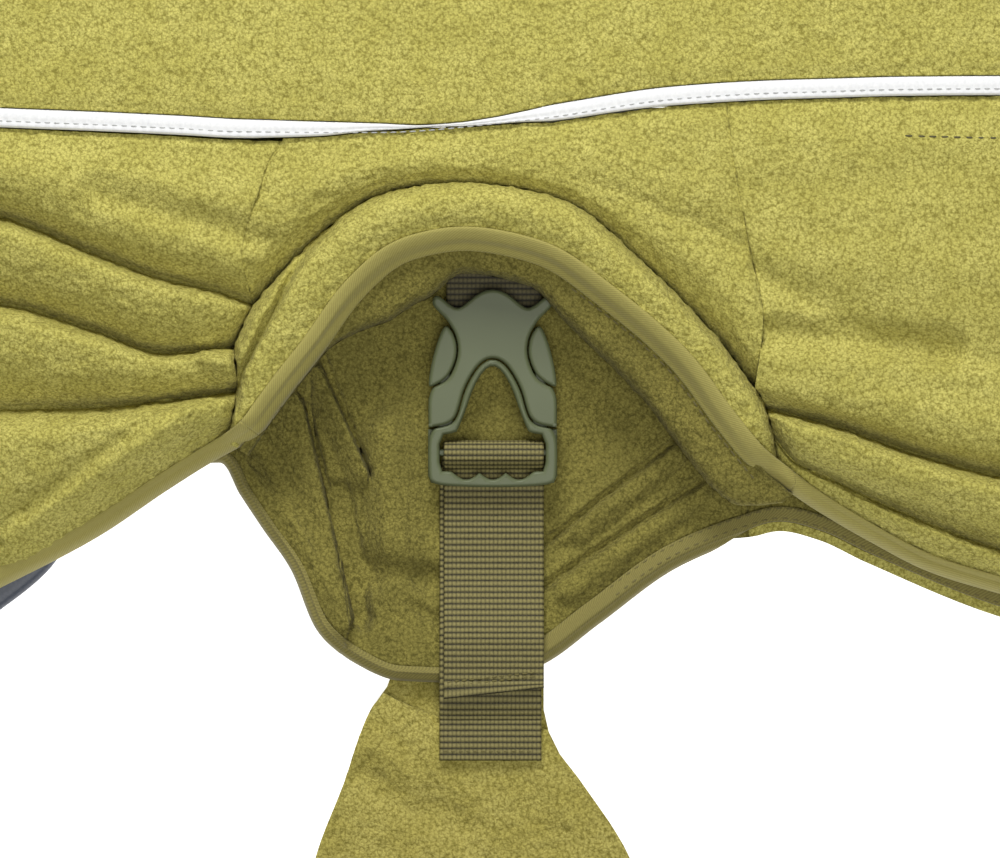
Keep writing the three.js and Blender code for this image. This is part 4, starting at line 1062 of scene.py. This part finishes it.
# %% Far side
FAR_EDGE = path_table(["x", "y", "lift", "top_x"], [
    [-PANEL_END, -52, 0, -PANEL_END],
    [-195, -53, 0, -195],
    [-160, -41.5, 0, -162],
    [-125, -25, 0, -132],
    [-100, -13, 0, -112],
    [-80, -1.5, 0.5, -98],
    [-70.5, -1, 2.5, -91],
    [-65.3, -9, 4.5, -84],
    [-59.5, -17.7, 5.2, -77],
    [-52.5, -27.8, 5, -70],
    [-45.8, -43.2, 4.2, -62],
    [-36.2, -51.5, 3.5, -54],
    [-25.5, -55.7, 3.5, -42],
    [-12, -56.2, 3.5, -24],
    [2, -55, 3.5, -3],
    [11.2, -51.5, 3.5, 10],
    [25, -41.5, 1.6, 26],
    [45, -27.2, 0, 44],
    [62, -20.3, 0, 57],
    [70.5, -18.2, 0, 64],
    [80, -20.4, 0, 74],
    [92, -26, 0, 88],
    [125, -39.5, 0, 124],
    [160, -48.5, 0, 160],
    [195, -54, 0, 195],
    [PANEL_END, -57, 0, PANEL_END],
])
FAR_INSET = 2.6
FAR_SEAMS = SimpleNamespace(left=0.4395, right=0.668)
FAR_FOLDS = [
    (-52.5, 14, -40.0, -40, 5.5, 3.5, 10),
    (-47, 22, -35, -4, 4.2, 3, 5),
    (-29, 6, -26, -31, 4.6, 10, 8),
    (20, -18, 44, 1, 2.6, 8, 5),
    (18, -33, 50, -9, 2.4, 7, 5),
]
FAR_CREASES = [
    (-44.5, 25, -33.5, -4, -4.6, 1.8, 1.6),
    (-49.5, 13, -42.5, -14, -4.4, 2.2, 1.6),
    (-41.5, -10, -36.0, -40, -8.0, 5.5, 3.4),
    (-25, -35, -15, -41, -1.8, 3, 3),
    (-33, -29, -17, -31, -3.0, 6, 6),
    (10, -22, 45, 5.5, -2.8, 1.3, 1.6),
    (10, -32.5, 50.5, -5.5, -2.8, 1.3, 1.6),
    (17.5, 0, 35.5, 15, -1.0, 5, 5),
    (-20, 5, -14, -30, 0.7, 7, 7),
    (-30, -20, -12, -24, 0.9, 6, 6),
]
CREASE_IN_NAP = 1.0
FAR_LEANS = [
    (-52.5, 14, -40.0, -40, 2.2, 4, 9),
    (-47, 22, -35, -4, 1.6, 3, 5),
]


def far_edge_points(share, inset):
    x, y, nx, ny = path_frame(FAR_EDGE, share)
    return x + nx * inset, y + ny * inset


def far_height(share, v, x, y):
    return FLEECE + FAR_EDGE.lift(share) * smoothstep(v, 0.8, 0.93) + folds_at(x, y, FAR_FOLDS)


def far_points(share, v):
    bare = smoothstep(FAR_EDGE.x(share), 52, 66)
    edge_x, edge_y = far_edge_points(share, FAR_INSET * (1 - bare))
    x = lerp(FAR_EDGE.top_x(share), edge_x, v)
    y = lerp(FAR_PIPING_Y - PIPING_SIDE, edge_y, v)
    return points(x, y, far_height(share, v, x, y))


def build_far_panel(name, share_stops, share_spacings, sides):
    share = steps_between(share_stops, share_spacings)[None, :]
    v = steps_between([0, 0.25, 1], [0.02, 0.0058])[:, None]
    grid = far_points(share, v)
    creases = folds_at(grid[..., 0], grid[..., 1], FAR_CREASES)
    wall = grid.copy()
    wall[..., 2] = np.maximum(0, grid[..., 2] + np.minimum(0, creases + CREASE_IN_NAP) - FLEECE)
    lean = folds_at(grid[..., 0], grid[..., 1], FAR_LEANS)
    grid[..., 2] = np.maximum(wall[..., 2] + 1.1, grid[..., 2] + creases)
    grid[..., 0] += lean
    grid = napped(sewn(grid, sides, 0.5), strength=0.85)
    return dress(name, wall_mesh(name, grid, wall), shaded_lining_fleece, name)


def show_outer_face_at_edge(panel):
    """Past the tape, right of the arch, the cloth's outer face is turned up: it gets the outer fleece, without
    the painted shade of the lining copy.
    """
    edge_x, edge_y = far_edge_points(np.linspace(0, 1, 800), 0)
    panel.data.materials.append(outer_fleece)
    for face in panel.data.polygons:
        x, y = face.center[0] / MM, face.center[1] / MM
        face.material_index = int(x > 62 and y < np.interp(x, edge_x, edge_y) + OUTER_STRIP)


build_far_panel("far_front_panel", [0, 0.25, FAR_SEAMS.left], [0.012, 0.0019], ["last_column"])
build_far_panel(
    "far_middle_panel", [FAR_SEAMS.left, FAR_SEAMS.right], [0.0014], ["first_column", "last_column"])
OUTER_STRIP = 2.6
show_outer_face_at_edge(
    build_far_panel("far_rear_panel", [FAR_SEAMS.right, 0.76, 1], [0.0019, 0.01], ["first_column"]))

# %% Far binding
FAR_TAPE = table(["inset", "over", "under"], [
    [0, -1.4, -2.1],
    [0.8, 0.6, -2.7],
    [FAR_INSET - 0.41, 1.5, -2.7],
    [FAR_INSET - 0.4, 1.9, 1.1],
    [4.2, 1.9, 1.1],
    [6.2, 1.3, 1.1],
])


def far_surface(share, inset):
    x, y = far_edge_points(share, inset)
    edge_x, edge_y = far_edge_points(share, FAR_INSET)
    span = np.hypot(FAR_EDGE.top_x(share) - edge_x, FAR_PIPING_Y - PIPING_SIDE - edge_y)
    v = np.minimum(1, 1 - (inset - FAR_INSET) / span)
    on_panel = inset >= FAR_INSET
    return points(x, y, far_height(share, v, np.where(on_panel, x, edge_x), np.where(on_panel, y, edge_y)))


def tape_width(share):
    """How much of the tape shows: on the left it is pulled round the edge."""
    x = FAR_EDGE.x(share)
    return 0.5 + 0.12 * smoothstep(x, -58, -40) + 0.38 * smoothstep(x, -5, 14)


share = steps_between([0.262, 0.8, 0.999], [0.0011, 0.006])[:, None]
step_up = FAR_INSET - 0.4
inset = np.array([0, 0.25, 0.5, 0.8, 1.2, 1.7, step_up - 0.01, step_up, 3.0, 3.5, 4.2, 5.0, 5.7, 6.2])[None, :]
bare = smoothstep(FAR_EDGE.x(share), 52, 66)
narrowed = np.maximum(inset * tape_width(share), np.minimum(inset, FAR_INSET))
narrowed = np.maximum(narrowed, bare * (2.4 + 0.1 * inset))
surface = far_surface(share, narrowed)
over = surface + points(0, 0, FAR_TAPE.over(inset))
over[..., 2] += 0.12 * noise(over, 7.0) - 0.22 * np.exp(-(((inset - 4.6) / 0.5) ** 2))
under = surface + points(0, 0, FAR_TAPE.under(inset))
dress("far_lower_binding", wall_mesh("far_lower_binding", over, under), shaded_far_knit,
      "far_lower_binding")

# %% [markdown]
# ## Chest panel
# Under the near front edge a fold of smooth grey shell cloth shows: the chest panel, which joins the two
# sides under the dog. It hangs from the near edge, turns under and comes back to the far edge.

# %% Chest panel
CHEST = table(["x", "fold"], [
    [-PANEL_END, -66],
    [-195, -72],
    [-160, -58],
    [-136, -45],
    [-125, -37.5],
    [-114, -28.5],
    [-107, -19],
])
CHEST_END = 0.2445

share = np.linspace(0.0005, CHEST_END, 90)
x, seam_y = far_edge_points(share, FAR_INSET - SEAM_GAP - 0.1)
high = SIDE.edge(x) - 5.2
radius = high / 2
turn = CHEST.fold(x) + radius
rows_y = list(lerp(FRONT_RAILS.edge(x) + 3.5, turn + 1, q) for q in np.linspace(0, 1, 12))
rows_z = [high] * 12
for angle in np.linspace(np.pi / 2, np.pi * 1.5, 14)[1:]:
    rows_y.append(turn + radius * np.cos(angle))
    rows_z.append(radius + radius * np.sin(angle))
for q in np.linspace(0, 1, 12)[1:]:
    rows_y.append(lerp(turn, seam_y, q))
    rows_z.append(np.zeros_like(x))
grid = points(np.stack([x] * len(rows_y), -1), np.stack(rows_y, -1), np.stack(rows_z, -1))
wall = inside(grid, SHELL_CLOTH, -1)
dress("chest_panel", wall_mesh("chest_panel", grid, wall), shell_cloth, "chest_panel")

# %% [markdown]
# ## Neck and hem bindings
# Both open ends are bound with the same tape. The binding follows the whole section of the coat there: the
# near side with its lobes, round the spine, and back along the table.

# %% End bindings
def build_end_binding(name, side, points_at, far_end):
    place = np.linspace(4, 0, 120)
    near = points_at(np.zeros_like(place), place)
    back = back_profile(np.array([side * PANEL_END]), 1.2)[0]
    far_y = lerp(FAR_PIPING_Y, FAR_EDGE.y(far_end) + 1, np.linspace(0, 1, 30))
    profile = np.concatenate([near, back, points(side * PANEL_END, far_y, 0)])
    rows = np.stack([profile + points(side * out, 0, 0) for out in np.linspace(SEAM_GAP, EDGE_BAND, 6)])
    inner = inside(rows, FLEECE, 1)
    return dress(name, wall_mesh(name, rows, inner), knit_binding, name)


build_end_binding("neck_binding", -1, front_points, 0)
build_end_binding("hem_binding", 1, rear_points, 1)

# %% [markdown]
# ## Belly band
# A tab of double fleece hangs from the far edge, widens, and is turned back on itself, so its upper layer
# lies on the lower one. Its raw side edges are soft and fuzzy.

# %% Belly band
BAND = table(["y", "left", "right"], [
    [-157.5, -50, 40],
    [-140, -52, 42],
    [-120, -51, 40],
    [-99, -46, 32],
    [-80, -38.7, 19.5],
    [-71.5, -36, 13.4],
    [-63, -32.5, 11],
    [-57.5, -28.5, 11],
    [-44, -24, 9],
])
BAND_FOLD = 3.3
BAND_TURN = -157.5 + BAND_FOLD
BAND_CREASES = [
    (-26, -58, -15.5, -66, -2.4, 2.5, 2.5),
    (-34, -80, -10, -92, -1.6, 8, 8),
    (-31, -72, -21, -84, 1.0, 6, 6),
    (-26, -66, -17, -76, 0.6, 5, 5),
    (10, -78, 16, -90, 0.6, 5, 5),
    (-30, -110, 10, -118, 0.8, 10, 10),
]

q = np.linspace(0, 1, 104)[:, None]
under_y = np.linspace(-46, BAND_TURN, 20)[None, :]
angle = np.linspace(-np.pi / 2, -np.pi * 1.5, 14)[None, 1:]
top_end = lerp(-58.8, -68, np.minimum(1, q * 1.6))
upper_y = lerp(BAND_TURN, top_end, np.linspace(0, 1, 132)[None, 1:])
ones = np.ones_like(q)
y = np.concatenate([ones * under_y, ones * (BAND_TURN + BAND_FOLD * np.cos(angle)), upper_y], axis=1)
z = np.concatenate([0 * ones * under_y, ones * (BAND_FOLD + BAND_FOLD * np.sin(angle)),
                    np.full_like(upper_y, 2 * BAND_FOLD)], axis=1)
grid = points(lerp(BAND.left(y), BAND.right(y), q), y, z)
wall = inside(grid, FLEECE, 1)
on_top = smoothstep(grid[..., 2], 4, 6.5)
clear_of_strap = 1 - np.exp(-(((grid[..., 0] + 2) / 13) ** 8)) * (grid[..., 1] > -78)
grid[..., 2] += on_top * clear_of_strap * folds_at(grid[..., 0], grid[..., 1], BAND_CREASES)
grid = lerp(grid, napped(grid), on_top[..., None])
# The band uses a copy of the same fleece with painted shade in its colours, darker than the outer fleece.
band_fleece_painted_shade = fleece_material("fleece_band_painted_shade", "#bcb163", "#7d7434", "#b0a556")
dress("belly_band", wall_mesh("belly_band", grid, wall), band_fleece_painted_shade, "belly_band")

# %% [markdown]
# ## Buckle
# A side-release buckle has two moulded halves. The lower half carries the strap on a bar inside a frame and
# ends in a wedge that fits the upper half. Its two arms end in the pads that the fingers press, which show in
# the sides. Each part of it is drawn as an outline in plan, right half first, and Blender's flat curves give
# it a thickness and a rounded moulded edge.

# %% Buckle outlines
BUCKLE = SimpleNamespace(x=-1.85, y=-7.2, z=FLEECE + LIFT)


def mirrored(half):
    return half + [(-x, y) for x, y in reversed(half) if x != 0]


GAP_LINE = [
    (15.9, 15.1), (11.6, 15.8), (9.6, 17.2), (8.6, 19.5), (7.2, 25), (4.2, 30.2), (2, 32.1), (0, 32.6)]
HOLE_LINE = [(8.6, 14.8), (7, 18.7), (4.8, 25.2), (2.3, 29.4), (0, 30.8)]
MALE_OUTLINE = mirrored([(0, 0), (12, 0.4), (15.4, 1.2), (16.2, 3), (16.2, 14.7)]
                        + [(max(0, x - 0.25), y - 0.35) for x, y in GAP_LINE[1:]])
SCALLOP = 6.6
SCALLOPS = [(x, 3.7 - 1.7 * abs(math.cos(math.pi * x / SCALLOP))) for x in np.linspace(0, 1.5 * SCALLOP, 19)]
WINDOW = mirrored(SCALLOPS + [(10.6, 4.1), (13.3, 4.1), (13.3, 13.2), (9.2, 13.8)] + HOLE_LINE)
PAD = [(15.9, 25), (12.6, 26.7), (10.5, 28.8), (8.8, 33.4), (9.3, 37.8), (11.8, 41.4), (13.8, 37),
       (15.3, 31.5), (16.1, 26.5)]
FEMALE_OUTLINE = mirrored(GAP_LINE[::-1] + [
    (16.1, 15.1), (16.1, 24.6), (12.3, 26.2), (10.2, 28.4), (8.45, 33.4), (9, 38), (11.3, 41.9),
    (12.6, 43.2), (15.4, 46), (14.6, 48.2), (13.2, 48), (10.4, 45.6), (8.7, 44.9), (7, 45.9), (3.5, 48.9),
    (0, 49.9)])


def moulded(outlines, low, high, rounding=0.5):
    """A plate with rounded edges, from an outline and its holes, as vertices and faces."""
    curve = bpy.data.curves.new("moulding", "CURVE")
    curve.dimensions = "2D"
    curve.fill_mode = "BOTH"
    curve.extrude = (high - low) / 2 * MM - rounding * MM
    curve.bevel_depth = rounding * MM
    curve.bevel_resolution = 4
    curve.offset = -rounding * MM
    for outline in outlines:
        spline = curve.splines.new("POLY")
        spline.points.add(len(outline) - 1)
        for point, (x, y) in zip(spline.points, outline):
            point.co = ((BUCKLE.x + x) * MM, (BUCKLE.y + y) * MM, 0, 1)
        spline.use_cyclic_u = True
    holder = bpy.data.objects.new("moulding", curve)
    mesh = bpy.data.meshes.new_from_object(holder)
    level = (BUCKLE.z + (low + high) / 2) * MM
    verts = [(*v.co[:2], v.co[2] + level) for v in mesh.vertices]
    faces = [list(face.vertices) for face in mesh.polygons]
    bpy.data.objects.remove(holder)
    bpy.data.curves.remove(curve)
    bpy.data.meshes.remove(mesh)
    return verts, faces


def rounded_outline(outline, passes=2):
    """Cuts the corners of an outline, twice by default, which leaves a smooth line through it."""
    line = np.array(outline, float)
    for _ in range(passes):
        after = np.roll(line, -1, axis=0)
        line = np.stack([lerp(line, after, 0.25), lerp(line, after, 0.75)], axis=1).reshape(-1, 2)
    return [tuple(point) for point in line]


def join_shells(name, shells):
    verts, faces = [], []
    for shell_verts, shell_faces in shells:
        start = len(verts)
        verts += shell_verts
        faces += [[start + i for i in face] for face in shell_faces]
    mesh = bpy.data.meshes.new(name)
    mesh.from_pydata(verts, [], faces)
    mesh.validate()
    mesh.shade_smooth()
    mesh.set_sharp_from_angle(angle=math.radians(40))
    return mesh


def left_hand(outline):
    return [(-x, y) for x, y in reversed(outline)]


# %% Lower half of the buckle
STRAP_GAP = 3.9
frame_outlines = [rounded_outline(MALE_OUTLINE, 3), rounded_outline(WINDOW, 1)]
shells = [moulded(frame_outlines, STRAP_GAP, BUCKLE_THICK, 0.9)]
side_bar = [(13.3, 1.0), (15.4, 1.2), (16.2, 3), (16.2, 14.7), (13.3, 14.7)]
arm = [(10, 14.2), (13.6, 14.2), (13.6, 24.5), (12.6, 29.5), (10.9, 29.5), (10, 24.5)]
crossbar = [(-14, 8), (14, 8), (14, 9.6), (-14, 9.6)]
shells.append(moulded([crossbar], 3.2, 5.2, 0.4))
for hand in (list, left_hand):
    shells.append(moulded([hand(side_bar)], 0, STRAP_GAP + 1.2, 0.4))
    shells.append(moulded([hand(arm)], 2.6, 5.6, 0.4))
    shells.append(moulded([rounded_outline(hand(PAD), 2)], 0.6, BUCKLE_THICK - 0.4, 0.9))
dress("buckle_male", join_shells("buckle_male", shells), moulded_acetal, "buckle_male")

# %% Upper half of the buckle
low_female = [(x, min(y, 43.4)) for x, y in FEMALE_OUTLINE if abs(x) < 12 or y < 43]
shells = [
    moulded([rounded_outline(FEMALE_OUTLINE, 3)], 4.2, BUCKLE_THICK + 0.4, 0.9),
    moulded([rounded_outline(low_female, 1)], 0, 4.3, 0.5),
]
dress("buckle_female", join_shells("buckle_female", shells), moulded_acetal,
      "buckle_female")

# %% [markdown]
# ## Strap
# The strap is one length of webbing. It is sewn flat on the belly band, runs up under the frame of the
# buckle, turns round its bar and comes back down on top of itself to a turned and stitched hem. Its woven
# ribs are real relief: rounded yarn tops that stand out from both faces.

# %% Strap
STRAP_LEFT = -14.6
BAR = SimpleNamespace(y=BUCKLE.y + 8.8, z=BUCKLE.z + 4.2, bend=3.05)
YARN_RELIEF = 0.17
HEM_BAND = 2.6


def smooth_line(stops, spacing_at):
    """Points along a line through the stops, with the spacing that spacing_at gives for a point."""
    stops = np.array(stops, float)
    run = np.concatenate([[0], np.cumsum(np.hypot(*np.diff(stops, axis=0).T))])
    across, height = smooth_curve(run, stops[:, 0]), smooth_curve(run, stops[:, 1])
    places = [0.0]
    while places[-1] < run[-1]:
        places.append(places[-1] + spacing_at(float(across(places[-1])), places[-1] / run[-1]))
    places = np.array(places[:-1] + [run[-1]])
    return across(places), height(places), places


under_leg = [(-75.7, 7.1), (-66, 7.1), (-60, 8.9), (-45.5, 8.9), (-40, 7.3), (-34, 5.6), (-28, 4.2),
             (-20, 3.7), (-9, 3.7), (-3, 3.9)]
bend = [(BAR.y + BAR.bend * math.cos(angle), BAR.z + BAR.bend * math.sin(angle))
        for angle in np.linspace(-math.pi / 2, math.pi / 2, 9)]
upper_leg = [(0, 10.5), (-1.6, 9.1), (-3.5, 6.95), (-9, 6.95), (-20, 7.0), (-28, 7.5), (-34, 8.9),
             (-40, 10.6), (-45.5, 12.2), (-58.6, 12.0)]
line_y, line_z, line_run = smooth_line(
    under_leg + bend + upper_leg, lambda y, share: 0.37 if share > 0.45 or y < -56 else 1.1)
tail = smoothstep(line_run / line_run[-1], 0.46, 0.56)
across = np.linspace(0, 1, 94)[:, None]
left = lerp(STRAP_LEFT - 0.6, STRAP_LEFT + 0.5, tail)
x = left + across * (WEBBING_WIDTH - 0.5 * tail)
slant = smoothstep(line_run, line_run[-1] - 3.0, line_run[-1]) * lerp(-1.6, 1.2, across)
grid = points(x, line_y + slant, line_z + 0 * slant)
wall = inside(grid, WEBBING_THICK, -1)
outward = grid - wall
outward /= np.linalg.norm(outward, axis=-1, keepdims=True)
ribs = np.abs(np.sin(np.pi * line_run / PICK)) * np.abs(np.sin(np.pi * across * WEBBING_WIDTH / YARN))
thinner_edge = 0.25 * (np.exp(-(across * 60)) + np.exp(-((1 - across) * 60)))
hem = smoothstep(line_run, line_run[-1] - HEM_BAND - 0.4, line_run[-1] - HEM_BAND)
relief = (YARN_RELIEF * (ribs - 0.5) * (1 - 0.8 * hem) + 0.35 * hem - thinner_edge)[..., None] * outward
measured = points(0, np.broadcast_to(line_run, x.shape), across * WEBBING_WIDTH)
strap_mesh = wall_mesh("strap", grid + relief, wall - relief, 1, measured)
dress("strap", strap_mesh, strap_webbing, "strap")

# %% Webbing loop of the upper half
loop_thick = 2 * WEBBING_THICK
seat = float(SIDE.piping_z(0)) - FLEECE - LIFT - loop_thick
line_y, line_z, line_run = smooth_line(
    [(36.8, 3.6), (42, 3.6), (52, 4.6), (60, 7), (68, 10.6), (75, 15), (80.5, seat - 0.2), (94, seat)],
    lambda y, share: 0.4 if y < 62 else 1.2)
across = np.linspace(0, 1, 80)[:, None]
grid = points(-13.5 + 24.0 * across, line_y, line_z)
wall = inside(grid, loop_thick, -1)
ribs = np.abs(np.sin(np.pi * line_run / PICK)) * np.abs(np.sin(np.pi * across * 24.0 / YARN))
relief = points(0, 0, YARN_RELIEF * (ribs - 0.5))
measured = points(0, np.broadcast_to(line_run, (80, len(line_run))), across * 24.0)
dress("buckle_webbing", wall_mesh("buckle_webbing", grid - relief, wall + relief, 2, measured), shaded_loop_webbing,
      "buckle_webbing")

# %% [markdown]
# ## Stitches
# A machine stitch shows as a short rounded length of thread whose ends dive into the cloth. One function
# lays such stitches along any line on a piece: each is a small tube, thickest in its middle. The lines come
# from the same functions as the cloth below them, raised to its surface.

# %% Stitch lines
STITCH_PITCH = 2.6
THREAD = 0.24
SIDES = 6


def stitch_line(name, line, material, pitch=STITCH_PITCH, radius=THREAD, fill=0.72):
    line = np.asarray(line, float)
    run = np.concatenate([[0], np.cumsum(np.linalg.norm(np.diff(line, axis=0), axis=1))])
    at = lambda place: np.stack([np.interp(place, run, line[:, i]) for i in range(3)], -1)
    middles = np.arange(pitch * 0.5, run[-1], pitch)
    reach = pitch * fill / 2
    along = at(middles + reach) - at(middles - reach)
    along /= np.maximum(np.linalg.norm(along, axis=-1, keepdims=True), 1e-9)
    aside = np.cross(along, (0, 0, 1))
    aside /= np.linalg.norm(aside, axis=-1, keepdims=True)
    upward = np.cross(aside, along)
    verts, faces = [], []
    rings = np.linspace(-1, 1, 6)
    for ring in rings:
        centre = at(middles + reach * ring) - upward * radius * (1.3 * ring ** 2)
        thick = radius * math.sqrt(max(0.03, 1 - ring ** 4))
        for turn in np.linspace(0, 2 * math.pi, SIDES, endpoint=False):
            verts.append(centre + aside * thick * math.cos(turn) + upward * thick * 0.8 * math.sin(turn))
    count = len(middles)
    verts = np.stack(verts, 1).reshape(-1, 3)
    per_stitch = len(rings) * SIDES
    for k in range(count):
        base = k * per_stitch
        for r in range(len(rings) - 1):
            for s in range(SIDES):
                t = (s + 1) % SIDES
                faces.append([base + r * SIDES + s, base + r * SIDES + t,
                              base + (r + 1) * SIDES + t, base + (r + 1) * SIDES + s])
        faces.append([base + s for s in reversed(range(SIDES))])
        faces.append([base + (len(rings) - 1) * SIDES + s for s in range(SIDES)])
    mesh = bpy.data.meshes.new(name)
    mesh.from_pydata((verts * MM).tolist(), [], faces)
    mesh.shade_smooth()
    return dress(name, mesh, material)


x = np.linspace(-PANEL_END + 2, PANEL_END - 2, 600)
stitch_line("piping_stitches", points(x, SIDE.piping(x) - 0.8, SIDE.piping_z(x) + 0.9), grey_thread,
            pitch=2.4, radius=0.17)

for row, inset in (("outer", 3.3), ("inner", 5.7)):
    share = np.linspace(0.595, 0.99, 900)
    surface = far_surface(share, np.full_like(share, inset))
    line = surface + points(0, 0, FAR_TAPE.over(inset) + 0.05)
    stitch_line(f"far_tape_{row}_stitches", line, olive_thread, radius=0.2)

share = np.linspace(0.62, 0.995, 400)
line = arch_points(share, -3.7, arch_height(share, -3.7 + 0 * share) + 0.15)
stitch_line("lining_stitches", line, olive_thread, radius=0.22)

first = splits[2] - 90
seam = over[first:, 1] - (0, 0, 0.35)
stitch_line("near_rear_binding_stitches", seam, olive_thread, radius=0.17)

x = np.linspace(104, PANEL_END - 2, 300)
stitch_line("rear_seam_stitches", rear_points(np.interp(x, [62, PANEL_END], [1, 0]), np.full_like(x, 0.16))
            + (0, 0, 0.1), dark_thread, pitch=3.0)

STRAP_STITCHES = [
    ("strap_hem_stitches", (STRAP_LEFT + 0.9, -57.0), (STRAP_LEFT + 24.1, -54.4), 12.35),
    ("strap_hem_upper_stitches", (STRAP_LEFT + 0.9, -56.0), (STRAP_LEFT + 24.1, -53.4), 12.35),
    ("strap_end_stitches", (STRAP_LEFT, -73.4), (STRAP_LEFT + 23.2, -73.4), 8.75),
]
for name, start, end, height in STRAP_STITCHES:
    q = np.linspace(0, 1, 40)
    stitch_line(name, points(lerp(start[0], end[0], q), lerp(start[1], end[1], q), height), olive_thread,
                pitch=1.9, radius=0.2)
